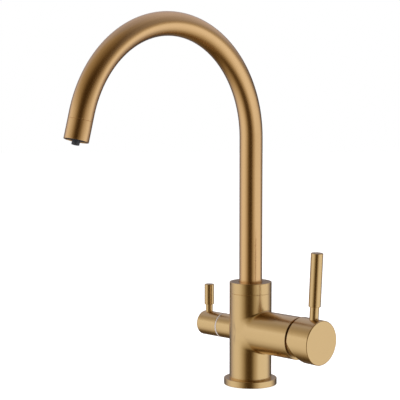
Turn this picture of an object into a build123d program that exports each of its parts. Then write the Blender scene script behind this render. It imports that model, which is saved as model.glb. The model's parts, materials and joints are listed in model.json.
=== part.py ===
"""Three way filtered water tap: swan neck spout, side mixer lever, small lever for filtered water.

Millimetres, +Z up. The origin is the centre of the foot, on the worktop. The spout points to -Y,
the mixer arm to +X and the filter arm to -X.
"""

import os
from math import asin, cos, hypot, radians, sin, sqrt

from build123d import *

# ---- fits ----
RUNNING = 0.05  # radial clearance of a part that turns
SEATED = 0.02  # radial clearance of a part that is pressed, screwed or soldered in
FREE = 0.3  # gap between parts that pass without touching
PLAY = 0.1  # end play of small parts
OVERRUN = 1.0  # how far a cut or a rib runs past the surface that it has to reach

# ---- foot and barrel ----
BASE_D = 53.0
BASE_H = 6.5
BASE_EDGE = 0.45
SHANK_D = 35.0  # foot of the body, inside the base ring
GASKET_D = 48.0
GASKET_BAND = 3.2
GASKET_H = 1.9
BODY_D = 42.2
BODY_TOP = 92.4
O_RING_SIDES = 6  # flats that stand for a round section
SEAM = 0.18  # small bevel each side of a visible joint line
COLLAR_H = 11.0
COLLAR_EDGE = 0.3

# ---- inlet block in the foot ----
INLET_BLOCK_D = 30.0
INLET_BLOCK_H = 20.0
INLET_THREAD_D = 9.0  # core of M10 x 1
INLET_THREAD_DEPTH = 14.0
STUD_THREAD_D = 6.8  # core of M8
STUD_THREAD_DEPTH = 17.0
STUD_SPREAD = 10.4  # stud holes either side of the axis, along Y
STUD_BACK = 3.0
SUPPLY_X = 7.4  # hot and cold risers
SUPPLY_Y = 7.0
FILTER_SUPPLY_X = 9.6
WATERWAY_D = 6.4
FILTER_WAY_D = 4.4

# ---- mixer arm and cartridge ----
ARM_Z = 54.3
ARM_D = 42.1
ARM_END = 65.8
ARM_BLEND = 1.5
ARM_LIP = 1.55  # wall round the arm's mouth
MOUTH_DEPTH = 10.1
CARTRIDGE_D = 34.8
CARTRIDGE_BORE_D = 35.0
CARTRIDGE_BASE_H = 4.5
BASE_RIM_H = 3.0
BASE_RIM_WALL = 1.55
FIXED_DISC_D = 27.0
FIXED_DISC_H = 3.5
MOVING_DISC_D = 20.0
MOVING_DISC_H = 3.5
MIXING_POCKET_L = 15.0
MIXING_POCKET_W = 8.0
CARRIER_H = 7.5
CARRIER_WIDTH = 16.0
TURRET_FLANGE_D = 30.2
TURRET_DECK_H = 3.6
TURRET_D = 23.0
TURRET_TOP = 6.2  # beyond the pivot
HOUSING_ROOF = 3.2
HOUSING_NECK_D = 26.8
HOUSING_NECK_L = 7.8
PORT_SIDE = 7.0  # hot and cold ports either side of the arm's axis
PORT_DROP = 3.5
OUTLET_RISE = 8.0
PEG_D = 3.0
PEG_H = 2.4
PEG_PLACE = 9.2
NUT_H = 5.0
NUT_SLOTS = 6
NUT_SLOT_L = 3.4
NUT_SLOT_W = 3.0

# ---- mixer handle: it leans outwards by REST_LEAN when the tap is off ----
PIVOT_RISE = 2.8  # beyond the cartridge bore
REST_LEAN = 1.3
LIFT = 25.0
CAP_GAP = 0.4  # between the cap and the cover that it tilts over
CAP_WALL = 1.6
CAP_RIM = 9.6  # from the pivot
CAP_LENGTH = 26.3
CAP_END_WALL = 3.0
CAP_EDGE = 0.9
RELIEF_ANGLE = 30.0
COVER_LEDGE = 0.9
SKIRT_WALL = 1.54
DOME_WALL = 1.4
DOME_MOUTH_ANGLE = 38.5
HUB_D = 15.0
STEM_WIDTH = 7.0
STEM_THICKNESS = 5.0
STEM_LENGTH = 30.0
STEM_EYE_D = 8.0
STEM_SLOT_GAP = 0.1
STEM_BALL_D = 6.0
STEM_BALL_ARM = 12.0
STEM_NECK_D = 4.4
SOCKET_PLAY = 0.2  # round the ball in the disc carrier
PIVOT_PIN_D = 3.0
PIVOT_PIN_L = 20.4
PIVOT_PIN_EDGE = 0.3
LEVER_PLACE = 24.7  # from the pivot, along the handle's axis
LEVER_LEAN = 1.7  # further outwards than square to the handle's axis
LEVER_D = 11.9
LEVER_TOP = 86.3  # from the handle's axis
GRIP_L = 52.2
LEVER_NECK_D = 9.0
LEVER_EDGE = 0.55
LEVER_BOSS_WALL = 0.5
LEVER_STUD_D = 5.0
LEVER_STUD_END = 9.6
GRUB_L = 5.4
GRUB_KEY = 2.5

# ---- filter arm and valve; distances run outwards from the barrel's axis ----
FILTER_ARM_D = 24.5
FILTER_ARM_END = 37.1
FILTER_BLEND = 1.6
VALVE_L = 20.1
VALVE_D = 18.3
GLIDE_D = 24.9
GLIDE_W = 1.6
GLIDE_BORE_D = 19.2
GLIDE_EDGE = 0.25
KNOB_D = 24.6
KNOB_GAP = 0.1
KNOB_L = 26.7
KNOB_EDGE = 1.5
KNOB_POCKET_D = 20.0
KNOB_POCKET = 7.2
FILTER_PORT = 4.9  # ports above and below the arm's axis
VALVE_SEAL_H = 1.6
VALVE_DISC_D = 14.8
VALVE_DISC_H = 2.4
SPINDLE_D = 6.8
SPINDLE_FOOT_H = 2.4
SPINDLE_SHORT = 3.5  # from the knob's face
SPINDLE_FLAT = 3.0
SPINDLE_FLAT_L = 9.0
GLAND_D = 14.8
GLAND_L = 6.9
CLIP_W = 0.7
CLIP_D = 9.6
CLIP_GROOVE_D = 5.8
FILTER_LEVER_INSET = 6.7  # from the knob's face
FILTER_LEVER_D = 9.8
FILTER_LEVER_TOP = 40.3
FILTER_GRIP_L = 20.9
FILTER_NECK_D = 7.2
FILTER_STUD_D = 4.2
FILTER_STUD_END = 6.6
FILTER_GRUB_L = 3.0
FILTER_GRUB_KEY = 2.0

# ---- spout ----
SPOUT_D = 22.9
SPOUT_WALL = 1.5
RISER_TOP = 246.8
BEND_R = 110.4
BEND_ANGLE = 164.6
SPOUT_STRAIGHT = 25.2  # after the bend, tip sleeve included
TIP_L = 18.6
TIP_WALL = 1.25
TIP_SOCKET = 12.6
TIP_SPIGOT_L = 5.6
TIP_SPIGOT_WALL = 1.7
SPIGOT_D = 25.9
SPIGOT_BORE_D = 15.0
SPIGOT_FLANGE_D = 33.0
SPIGOT_FLANGE_H = 3.0
SPIGOT_NIPPLE_L = 12.0
SEAL_BORE_H = 11.0
SEAL_GROOVE_W = 2.6
SEAL_GROOVE_DEPTH = 1.75
SEAL_PLACES = (0.34, 0.72)  # shares of the bore's height
SEAL_SECTION_D = 1.7
CHAMBER_D = 19.0
CHAMBER_H = 6.0
COLLAR_SOCKET_D = 34.0
COLLAR_SOCKET_H = 7.4
COLLAR_LIP_H = 1.4
COLLAR_LIP_GAP = 0.45
BUSH_H = 1.0
BUSH_SLEEVE_WALL = 1.75

# ---- filtered water up the spout ----
INNER_TUBE_D = 6.0
INNER_TUBE_WALL = 1.0
FEED_HOLE_D = 7.8
FEED_HOLE_H = 7.0
FEED_FLANGE_D = 11.0
FEED_FLANGE_H = 1.5
FEED_SLEEVE_D = 10.0
FEED_SLEEVE_H = 10.5
FEED_SEAL_SECTION_D = 1.0
FEED_SEAL_FROM_TOP = 3.1
NOZZLE_D = 7.3
NOZZLE_EDGE = 0.4
NOZZLE_REACH = 3.8
NOZZLE_LENGTH = 17.8
NOZZLE_BORE_D = 3.8
NOZZLE_SOCKET_L = 6.0
INSERT_RECESS = 0.8
INSERT_FACE_H = 2.5
INSERT_H = 9.2
INSERT_WALL = 1.25
INSERT_CORE_WALL = 1.0
JET_COUNT = 8
JET_D = 1.8
SCREEN_H = 0.8
SCREEN_HOLES = 6
TIP_SEAL_H = 1.4

# ---- worked out from the sizes above ----
BODY_R = BODY_D / 2
COLLAR_SEAT_Z = BODY_TOP - COLLAR_SOCKET_H
CHAMBER_TOP_Z = COLLAR_SEAT_Z - SEAL_BORE_H
CHAMBER_Z = CHAMBER_TOP_Z - CHAMBER_H
COLLAR_TOP_Z = BODY_TOP + COLLAR_H
FLANGE_Z = COLLAR_SEAT_Z + BUSH_H + RUNNING
TUBE_FOOT_Z = FLANGE_Z + SPIGOT_FLANGE_H
UPPER_BUSH_Z = TUBE_FOOT_Z + RUNNING
SLEEVE_TOP_Z = COLLAR_TOP_Z - COLLAR_LIP_H
SPOUT_R = SPOUT_D / 2
SPOUT_BORE_R = SPOUT_R - SPOUT_WALL
UPPER_BUSH_R = SPOUT_R + RUNNING
SLEEVE_R = UPPER_BUSH_R + BUSH_SLEEVE_WALL
MOUTH_R = ARM_D / 2 - ARM_LIP
SHOULDER_X = ARM_END - MOUTH_DEPTH  # where the retaining nut bears
DISC_STACK_H = CARTRIDGE_BASE_H + FIXED_DISC_H + MOVING_DISC_H + CARRIER_H
CARTRIDGE_L = DISC_STACK_H + FREE + TURRET_DECK_H + RUNNING + HOUSING_ROOF
SEAT_X = SHOULDER_X - CARTRIDGE_L  # floor of the cartridge bore
DISC_X = SEAT_X + CARTRIDGE_BASE_H
MOVING_X = DISC_X + FIXED_DISC_H
CARRIER_X = MOVING_X + MOVING_DISC_H
CARRIER_TOP_X = CARRIER_X + CARRIER_H
DECK_X = CARRIER_TOP_X + FREE
DECK_TOP_X = DECK_X + TURRET_DECK_H
PIVOT_X = SHOULDER_X + PIVOT_RISE
TURRET_TOP_X = PIVOT_X + TURRET_TOP
SKIRT_R = MOUTH_R - SEATED
BALL_START_X = ARM_END - SEAM
DOME_R = hypot(SKIRT_R - COVER_LEDGE, BALL_START_X - PIVOT_X)
PORT_Z = ARM_Z - PORT_DROP
BALL_RISE = STEM_BALL_ARM * sin(radians(REST_LEAN))
DISC_TRAVEL = STEM_BALL_ARM * (sin(radians(REST_LEAN + LIFT)) - sin(radians(REST_LEAN)))
LEVER_R = LEVER_D / 2
HUB_START = DOME_R + CAP_GAP
CAP_R = HUB_START + CAP_WALL
CAP_END = CAP_RIM + CAP_LENGTH
LEVER_SEAT = sqrt(CAP_R**2 - (LEVER_NECK_D / 2) ** 2)
KNOB_R = KNOB_D / 2
KNOB_START = FILTER_ARM_END + GLIDE_W + KNOB_GAP
KNOB_END = KNOB_START + KNOB_L
FILTER_LEVER_PLACE = KNOB_END - FILTER_LEVER_INSET
SPINDLE_END = KNOB_END - SPINDLE_SHORT
GLAND_END = FILTER_ARM_END + GLAND_L
FILTER_SEAT = FILTER_ARM_END - VALVE_L
FILTER_LEVER_SEAT = sqrt(KNOB_R**2 - (FILTER_NECK_D / 2) ** 2)
FIXED_VALVE_DISC = FILTER_SEAT + VALVE_SEAL_H
MOVING_VALVE_DISC = FIXED_VALVE_DISC + VALVE_DISC_H
SPINDLE_FOOT = MOVING_VALVE_DISC + VALVE_DISC_H
VALVE_CHAMBER_END = SPINDLE_FOOT + SPINDLE_FOOT_H + PLAY
BEND_END_Y = BEND_R * (cos(radians(BEND_ANGLE)) - 1)
BEND_END_Z = RISER_TOP + BEND_R * sin(radians(BEND_ANGLE))
SPOUT_HEADING = (0, -sin(radians(BEND_ANGLE)), cos(radians(BEND_ANGLE)))
TIP_END = (
    0,
    BEND_END_Y + SPOUT_STRAIGHT * SPOUT_HEADING[1],
    BEND_END_Z + SPOUT_STRAIGHT * SPOUT_HEADING[2],
)

# ---- turning planes: x is the radius, y runs along the axis of what is turned ----
UPRIGHT = Plane(origin=(0, 0, 0), x_dir=(1, 0, 0), z_dir=(0, -1, 0))
MIXER = Plane(origin=(0, 0, ARM_Z), x_dir=(0, 0, 1), z_dir=(0, 1, 0))
FILTER = Plane(origin=(0, 0, ARM_Z), x_dir=(0, 0, 1), z_dir=(0, -1, 0))
LEAN_OUT = (cos(radians(REST_LEAN)), 0, -sin(radians(REST_LEAN)))
LEAN_UP = (sin(radians(REST_LEAN)), 0, cos(radians(REST_LEAN)))
LEVER_OUT = (cos(radians(REST_LEAN + LEVER_LEAN)), 0, -sin(radians(REST_LEAN + LEVER_LEAN)))
HANDLE = Plane(origin=(PIVOT_X, 0, ARM_Z), x_dir=LEAN_UP, z_dir=(0, 1, 0))
LEVER = Plane(origin=HANDLE.from_local_coords((0, LEVER_PLACE, 0)), x_dir=LEVER_OUT, z_dir=(0, -1, 0))
FILTER_LEVER = Plane(origin=(-FILTER_LEVER_PLACE, 0, ARM_Z), x_dir=(1, 0, 0), z_dir=(0, -1, 0))
TIP = Plane(origin=TIP_END, x_dir=(1, 0, 0), z_dir=(0, SPOUT_HEADING[2], -SPOUT_HEADING[1]))

os.makedirs("parts", exist_ok=True)


def across(plane, distance):
    """The plane square to a turning axis, this far along it, with x along the turning plane's z."""
    origin = plane.from_local_coords((0, distance, 0))
    return Plane(origin=origin, x_dir=plane.z_dir, z_dir=plane.y_dir)


def turned(plane, *outline, mode=Mode.ADD):
    """Turn a closed outline of (radius, distance along) points about the plane's y axis."""
    with BuildSketch(plane) as section:
        with BuildLine():
            Polyline(*outline, close=True)
        make_face()
    revolve(section.sketch, axis=Axis(plane.origin, plane.y_dir), mode=mode)


def ring(plane, inner, outer, start, end, mode=Mode.ADD):
    """Turn a plain ring, or a disc where the inner radius is 0."""
    turned(plane, (inner, start), (outer, start), (outer, end), (inner, end), mode=mode)


def o_ring(plane, radius, place, section):
    """Turn a rubber ring of this mean radius, with its middle at place along the axis."""
    with BuildSketch(plane) as cut:
        with Locations((radius, place)):
            RegularPolygon(section / 2, O_RING_SIDES, rotation=180 / O_RING_SIDES)
    revolve(cut.sketch, axis=Axis(plane.origin, plane.y_dir))


def drilled(start, end, diameter):
    """Drill a round passage from one point to another."""
    way = Vector(*end) - Vector(*start)
    with BuildSketch(Plane(origin=start, z_dir=way)) as mouth:
        Circle(diameter / 2)
    extrude(mouth.sketch, amount=way.length, mode=Mode.SUBTRACT)


def keyed(plane, place, across_flats, depth):
    """Sink a hexagon socket into the face at this place along the axis, towards smaller distances."""
    with BuildSketch(across(plane, place)) as socket:
        RegularPolygon(across_flats / 2, 6, major_radius=False)
    extrude(socket.sketch, amount=-depth, mode=Mode.SUBTRACT)


def finished(piece, name):
    """Label a finished piece and write it out."""
    piece.part.label = name
    export_step(piece.part, f"parts/{name}.step")


# ================= foot =================
with BuildPart() as base_ring:
    ring(UPRIGHT, SHANK_D / 2 + SEATED, BASE_D / 2, 0, BASE_H)
    outer_rims = base_ring.edges().filter_by(GeomType.CIRCLE).group_by(SortBy.RADIUS)[-1]
    chamfer(outer_rims, BASE_EDGE)
    ring(UPRIGHT, GASKET_D / 2 - GASKET_BAND, GASKET_D / 2, 0, GASKET_H, mode=Mode.SUBTRACT)
finished(base_ring, "base_ring")

with BuildPart() as base_gasket:
    ring(UPRIGHT, GASKET_D / 2 - GASKET_BAND + SEATED, GASKET_D / 2 - SEATED, 0, GASKET_H)
finished(base_gasket, "base_gasket")

with BuildPart() as inlet_block:
    ring(UPRIGHT, 0, INLET_BLOCK_D / 2, 0, INLET_BLOCK_H)
    for x, y, way in (
        (SUPPLY_X, SUPPLY_Y, WATERWAY_D),
        (SUPPLY_X, -SUPPLY_Y, WATERWAY_D),
        (-FILTER_SUPPLY_X, 0, FILTER_WAY_D),
    ):
        drilled((x, y, 0), (x, y, INLET_THREAD_DEPTH), INLET_THREAD_D)
        drilled((x, y, INLET_THREAD_DEPTH), (x, y, INLET_BLOCK_H), way)
    for y in (STUD_SPREAD, -STUD_SPREAD):
        drilled((-STUD_BACK, y, 0), (-STUD_BACK, y, STUD_THREAD_DEPTH), STUD_THREAD_D)
finished(inlet_block, "inlet_block")

# ================= body casting =================
with BuildPart() as body_casting:
    ring(UPRIGHT, 0, BODY_R, BASE_H, BODY_TOP)
    ring(MIXER, 0, ARM_D / 2, 0, ARM_END)
    curved = [GeomType.CIRCLE, GeomType.LINE]
    fillet([e for e in body_casting.edges() if e.geom_type not in curved], ARM_BLEND)
    barrel_side = body_casting.faces().filter_by(GeomType.CYLINDER).sort_by(Axis.X)[0]
    ring(FILTER, 0, FILTER_ARM_D / 2, 0, FILTER_ARM_END)
    root_line = [
        e
        for e in body_casting.edges()
        if e.geom_type not in curved and e.center().X < -BODY_R / 2
    ]
    fillet(root_line, FILTER_BLEND)
    ring(UPRIGHT, 0, SHANK_D / 2, 0, BASE_H)
    rims = body_casting.edges().filter_by(GeomType.CIRCLE)
    seam_rims = rims.filter_by(lambda e: abs(e.center().Z - BODY_TOP) < 0.01)
    mouth_rims = rims.filter_by(lambda e: abs(e.center().X - ARM_END) < 0.01)
    stub_rims = rims.filter_by(lambda e: abs(e.center().X + FILTER_ARM_END) < 0.01)
    chamfer([*seam_rims, *mouth_rims, *stub_rims], SEAM)

    # foot: room for the inlet block
    ring(UPRIGHT, 0, INLET_BLOCK_D / 2 + SEATED, 0, INLET_BLOCK_H, mode=Mode.SUBTRACT)
    # top: collar socket, seal bore, mixed water chamber and the hole for the feed spigot
    ring(UPRIGHT, 0, COLLAR_SOCKET_D / 2, COLLAR_SEAT_Z, BODY_TOP, mode=Mode.SUBTRACT)
    ring(UPRIGHT, 0, SPIGOT_D / 2 + RUNNING, CHAMBER_TOP_Z, COLLAR_SEAT_Z, mode=Mode.SUBTRACT)
    ring(UPRIGHT, 0, CHAMBER_D / 2, CHAMBER_Z, CHAMBER_TOP_Z, mode=Mode.SUBTRACT)
    ring(UPRIGHT, 0, FEED_HOLE_D / 2, CHAMBER_Z - FEED_HOLE_H, CHAMBER_Z, mode=Mode.SUBTRACT)
    # mixer arm: cartridge bore, then the wider mouth
    ring(MIXER, 0, CARTRIDGE_BORE_D / 2, SEAT_X, SHOULDER_X, mode=Mode.SUBTRACT)
    ring(MIXER, 0, MOUTH_R, SHOULDER_X, ARM_END, mode=Mode.SUBTRACT)
    # filter arm: valve bore
    ring(FILTER, 0, VALVE_D / 2 + SEATED, FILTER_SEAT, FILTER_ARM_END, mode=Mode.SUBTRACT)
    # waterways: hot and cold risers to the cartridge seat
    for side in (1, -1):
        y = side * SUPPLY_Y
        drilled((SUPPLY_X, y, INLET_BLOCK_H), (SUPPLY_X, y, PORT_Z), WATERWAY_D)
        drilled((SUPPLY_X, y, PORT_Z), (SEAT_X, side * PORT_SIDE, PORT_Z), WATERWAY_D)
    # mixed water back to the chamber under the spout
    drilled((SEAT_X + OVERRUN, 0, ARM_Z + OUTLET_RISE), (0, 0, CHAMBER_Z + CHAMBER_H / 2), WATERWAY_D)
    # filtered water to its valve and back to the feed spigot
    low, high = ARM_Z - FILTER_PORT, ARM_Z + FILTER_PORT
    drilled((-FILTER_SUPPLY_X, 0, INLET_BLOCK_H), (-FILTER_SUPPLY_X, 0, low), FILTER_WAY_D)
    drilled((-FILTER_SUPPLY_X, 0, low), (-FILTER_SEAT, 0, low), FILTER_WAY_D)
    drilled((0, 0, high), (-FILTER_SEAT, 0, high), FILTER_WAY_D)
    drilled((0, 0, high), (0, 0, CHAMBER_Z - FEED_HOLE_H), FILTER_WAY_D)
    # blind holes for the cartridge's pegs
    with Locations(across(MIXER, SEAT_X)):
        with Locations((PEG_PLACE, PEG_PLACE), (PEG_PLACE, -PEG_PLACE)):
            Cylinder(PEG_D / 2 + SEATED, 2 * PEG_H, mode=Mode.SUBTRACT)
finished(body_casting, "body_casting")

# ================= spout socket =================
with BuildPart() as lower_swivel_bush:
    ring(
        UPRIGHT,
        SPIGOT_D / 2 + RUNNING,
        COLLAR_SOCKET_D / 2 - SEATED,
        COLLAR_SEAT_Z,
        COLLAR_SEAT_Z + BUSH_H,
    )
finished(lower_swivel_bush, "lower_swivel_bush")

with BuildPart() as upper_swivel_bush:
    washer_top = UPPER_BUSH_Z + BUSH_H
    turned(
        UPRIGHT,
        (UPPER_BUSH_R, UPPER_BUSH_Z),
        (COLLAR_SOCKET_D / 2 - SEATED, UPPER_BUSH_Z),
        (COLLAR_SOCKET_D / 2 - SEATED, washer_top),
        (SLEEVE_R, washer_top),
        (SLEEVE_R, SLEEVE_TOP_Z),
        (UPPER_BUSH_R, SLEEVE_TOP_Z),
    )
finished(upper_swivel_bush, "upper_swivel_bush")

with BuildPart() as spout_collar:
    skirt_foot = UPPER_BUSH_Z + BUSH_H
    turned(
        UPRIGHT,
        (SLEEVE_R + SEATED, skirt_foot),
        (COLLAR_SOCKET_D / 2 - SEATED, skirt_foot),
        (COLLAR_SOCKET_D / 2 - SEATED, BODY_TOP),
        (BODY_R - SEAM, BODY_TOP),
        (BODY_R, BODY_TOP + SEAM),
        (BODY_R, COLLAR_TOP_Z),
        (SPOUT_R + COLLAR_LIP_GAP, COLLAR_TOP_Z),
        (SPOUT_R + COLLAR_LIP_GAP, SLEEVE_TOP_Z),
        (SLEEVE_R + SEATED, SLEEVE_TOP_Z),
    )
    top_rims = spout_collar.edges().filter_by(lambda e: abs(e.center().Z - COLLAR_TOP_Z) < 0.01)
    chamfer(top_rims, COLLAR_EDGE)
finished(spout_collar, "spout_collar")

# ================= feed spigot: a fixed nipple that the inner tube turns in =================
with BuildPart() as filter_feed_spigot:
    spigot_foot = CHAMBER_Z - FEED_HOLE_H
    flange_top = CHAMBER_Z + FEED_FLANGE_H
    sleeve_top = flange_top + FEED_SLEEVE_H
    bore_r = INNER_TUBE_D / 2 + RUNNING
    turned(
        UPRIGHT,
        (FILTER_WAY_D / 2, spigot_foot),
        (FEED_HOLE_D / 2 - SEATED, spigot_foot),
        (FEED_HOLE_D / 2 - SEATED, CHAMBER_Z),
        (FEED_FLANGE_D / 2, CHAMBER_Z),
        (FEED_FLANGE_D / 2, flange_top),
        (FEED_SLEEVE_D / 2, flange_top),
        (FEED_SLEEVE_D / 2, sleeve_top),
        (bore_r, sleeve_top),
        (bore_r, flange_top),
        (FILTER_WAY_D / 2, flange_top),
    )
    seal_middle = sleeve_top - FEED_SEAL_FROM_TOP
    half_groove = FEED_SEAL_SECTION_D / 2 + 0.3
    groove_r = bore_r + FEED_SEAL_SECTION_D
    ring(
        UPRIGHT, 0, groove_r, seal_middle - half_groove, seal_middle + half_groove, mode=Mode.SUBTRACT
    )
finished(filter_feed_spigot, "filter_feed_spigot")

with BuildPart() as feed_seal:
    o_ring(UPRIGHT, bore_r + FEED_SEAL_SECTION_D / 2, seal_middle, FEED_SEAL_SECTION_D)
finished(feed_seal, "feed_seal")

# ================= mixer cartridge, fixed pieces =================
PORTS = ((-PORT_DROP, PORT_SIDE), (-PORT_DROP, -PORT_SIDE), (OUTLET_RISE, 0))  # (rise, side)


def ported(start, end, diameter):
    """Drill the three ports through a piece of the cartridge."""
    for rise, side in PORTS:
        drilled((start, side, ARM_Z + rise), (end, side, ARM_Z + rise), diameter)


PORT_SEAL_LIP = 1.2
PORT_SEAL_R = WATERWAY_D / 2 + PORT_SEAL_LIP
PORT_SEAL_SECTION_D = 1.4

with BuildPart() as cartridge_base:
    rim_top = DISC_X + BASE_RIM_H
    turned(
        MIXER,
        (0, SEAT_X),
        (CARTRIDGE_D / 2, SEAT_X),
        (CARTRIDGE_D / 2, DISC_X),
        (FIXED_DISC_D / 2 + SEATED + BASE_RIM_WALL, DISC_X),
        (FIXED_DISC_D / 2 + SEATED + BASE_RIM_WALL, rim_top),
        (FIXED_DISC_D / 2 + SEATED, rim_top),
        (FIXED_DISC_D / 2 + SEATED, DISC_X),
        (0, DISC_X),
    )
    ported(SEAT_X, DISC_X, WATERWAY_D)
    for rise, side in PORTS:
        with BuildSketch(Plane(origin=(SEAT_X, side, ARM_Z + rise), z_dir=(1, 0, 0))) as groove:
            Circle(PORT_SEAL_R + PORT_SEAL_SECTION_D / 2)
            Circle(PORT_SEAL_R - PORT_SEAL_SECTION_D / 2, mode=Mode.SUBTRACT)
        extrude(groove.sketch, amount=PORT_SEAL_SECTION_D, mode=Mode.SUBTRACT)
    with Locations(across(MIXER, SEAT_X - PEG_H / 2)):
        with Locations((PEG_PLACE, PEG_PLACE), (PEG_PLACE, -PEG_PLACE)):
            Cylinder(PEG_D / 2, PEG_H)
finished(cartridge_base, "cartridge_base")

with BuildPart() as cartridge_seals:
    for rise, side in PORTS:
        port = Plane(
            origin=(SEAT_X, side, ARM_Z + rise), x_dir=(0, 0, 1), z_dir=(0, 1, 0)
        )
        o_ring(port, PORT_SEAL_R, PORT_SEAL_SECTION_D / 2, PORT_SEAL_SECTION_D)
finished(cartridge_seals, "cartridge_seals")

with BuildPart() as fixed_ceramic_disc:
    ring(MIXER, 0, FIXED_DISC_D / 2, DISC_X, MOVING_X)
    ported(DISC_X, MOVING_X, WATERWAY_D)
finished(fixed_ceramic_disc, "fixed_ceramic_disc")

with BuildPart() as cartridge_housing:
    ring(MIXER, 0, CARTRIDGE_D / 2, DISC_X, SHOULDER_X)
    neck_top = SHOULDER_X + HOUSING_NECK_L
    ring(MIXER, 0, HOUSING_NECK_D / 2, SHOULDER_X, neck_top)
    cavity_r = TURRET_FLANGE_D / 2 + RUNNING
    ring(MIXER, 0, cavity_r, DISC_X, SHOULDER_X - HOUSING_ROOF, mode=Mode.SUBTRACT)
    ring(MIXER, 0, TURRET_D / 2 + RUNNING, DISC_X, neck_top, mode=Mode.SUBTRACT)
finished(cartridge_housing, "cartridge_housing")

with BuildPart() as cartridge_nut:
    nut_top = SHOULDER_X + NUT_H
    ring(MIXER, HOUSING_NECK_D / 2 + 2 * SEATED, SKIRT_R, SHOULDER_X, nut_top)
    slot_r = (HOUSING_NECK_D / 2 + SKIRT_R) / 2
    with BuildSketch(across(MIXER, nut_top)) as slots:
        with PolarLocations(slot_r, NUT_SLOTS):
            Rectangle(NUT_SLOT_L, NUT_SLOT_W)
    extrude(slots.sketch, amount=-NUT_H / 2, mode=Mode.SUBTRACT)
finished(cartridge_nut, "cartridge_nut")

# The cover is a ball zone about the handle's pivot, so the cap can tilt over it.
with BuildPart() as cartridge_cover:
    inner_r = DOME_R - DOME_WALL
    mouth = radians(DOME_MOUTH_ANGLE)
    skirt_start = nut_top + FREE
    skirt_inner_r = SKIRT_R - SKIRT_WALL
    inner_ball_x = PIVOT_X + sqrt(inner_r**2 - skirt_inner_r**2)

    def on_ball(radius, angle):
        """A point of the ball, by its angle from the arm's axis."""
        return (radius * sin(angle), PIVOT_X + radius * cos(angle))

    outer_start = asin((SKIRT_R - COVER_LEDGE) / DOME_R)
    inner_start = asin(skirt_inner_r / inner_r)
    with BuildSketch(MIXER) as zone:
        with BuildLine():
            Polyline(
                (skirt_inner_r, inner_ball_x),
                (skirt_inner_r, skirt_start),
                (SKIRT_R, skirt_start),
                (SKIRT_R, BALL_START_X),
                on_ball(DOME_R, outer_start),
            )
            ThreePointArc(
                on_ball(DOME_R, outer_start),
                on_ball(DOME_R, (outer_start + mouth) / 2),
                on_ball(DOME_R, mouth),
            )
            Line(on_ball(DOME_R, mouth), on_ball(inner_r, mouth))
            ThreePointArc(
                on_ball(inner_r, mouth),
                on_ball(inner_r, (inner_start + mouth) / 2),
                (skirt_inner_r, inner_ball_x),
            )
        make_face()
    revolve(zone.sketch, axis=Axis(MIXER.origin, MIXER.y_dir))
finished(cartridge_cover, "cartridge_cover")

# ================= mixer cartridge, pieces that turn with the lever =================
with BuildPart() as cartridge_turret:
    ring(MIXER, 0, TURRET_FLANGE_D / 2, CARRIER_X + FREE, DECK_TOP_X)
    ring(MIXER, 0, TURRET_D / 2, DECK_X, TURRET_TOP_X)
    # guide for the disc carrier, open at both ends so that it can slide
    with BuildSketch(across(MIXER, CARRIER_X)) as guide:
        Rectangle(CARRIER_WIDTH + 2 * RUNNING, TURRET_FLANGE_D + 1)
    extrude(guide.sketch, amount=DECK_X - CARRIER_X, mode=Mode.SUBTRACT)
    # slot for the stem
    slot_reach = (DECK_X - PIVOT_X) * -sin(radians(REST_LEAN + LIFT)) + STEM_NECK_D + SOCKET_PLAY
    with BuildSketch(across(MIXER, DECK_X)) as stem_slot:
        Rectangle(STEM_WIDTH + 2 * STEM_SLOT_GAP, 2 * slot_reach)
    extrude(stem_slot.sketch, amount=TURRET_TOP_X - DECK_X, mode=Mode.SUBTRACT)
    drilled(
        (PIVOT_X, -PIVOT_PIN_L / 2, ARM_Z),
        (PIVOT_X, PIVOT_PIN_L / 2, ARM_Z),
        PIVOT_PIN_D + 2 * SEATED,
    )
finished(cartridge_turret, "cartridge_turret")

PIN = Plane(origin=(PIVOT_X, 0, ARM_Z), x_dir=(1, 0, 0), z_dir=(0, 0, 1))

with BuildPart() as pivot_pin:
    ring(PIN, 0, PIVOT_PIN_D / 2, -PIVOT_PIN_L / 2, PIVOT_PIN_L / 2)
    chamfer(pivot_pin.edges().filter_by(GeomType.CIRCLE), PIVOT_PIN_EDGE)
finished(pivot_pin, "pivot_pin")

# ================= flow disc, slid by the stem's ball =================
CARRIER_OFFSET = -DISC_TRAVEL / 2

with BuildPart() as moving_ceramic_disc:
    with BuildSketch(across(MIXER, MOVING_X)):
        with Locations((0, CARRIER_OFFSET)):
            Circle(MOVING_DISC_D / 2)
    extrude(amount=MOVING_DISC_H)
    # mixing pocket in the face that lies on the fixed disc
    with BuildSketch(across(MIXER, MOVING_X)) as pocket:
        with Locations((0, CARRIER_OFFSET)):
            SlotOverall(MIXING_POCKET_L, MIXING_POCKET_W, rotation=90)
    extrude(pocket.sketch, amount=MOVING_DISC_H / 2, mode=Mode.SUBTRACT)
finished(moving_ceramic_disc, "moving_ceramic_disc")

with BuildPart() as disc_carrier:
    with BuildSketch(across(MIXER, CARRIER_X)):
        with Locations((0, CARRIER_OFFSET)):
            Circle(MOVING_DISC_D / 2)
            Rectangle(CARRIER_WIDTH, MOVING_DISC_D, mode=Mode.INTERSECT)
    extrude(amount=CARRIER_H)
    socket_floor = PIVOT_X - STEM_BALL_ARM - STEM_BALL_D / 2 - SOCKET_PLAY
    with BuildSketch(across(MIXER, socket_floor)) as socket:
        with Locations((0, BALL_RISE)):
            Circle(STEM_BALL_D / 2 + SOCKET_PLAY)
    extrude(socket.sketch, amount=CARRIER_TOP_X - socket_floor, mode=Mode.SUBTRACT)
finished(disc_carrier, "disc_carrier")

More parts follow.
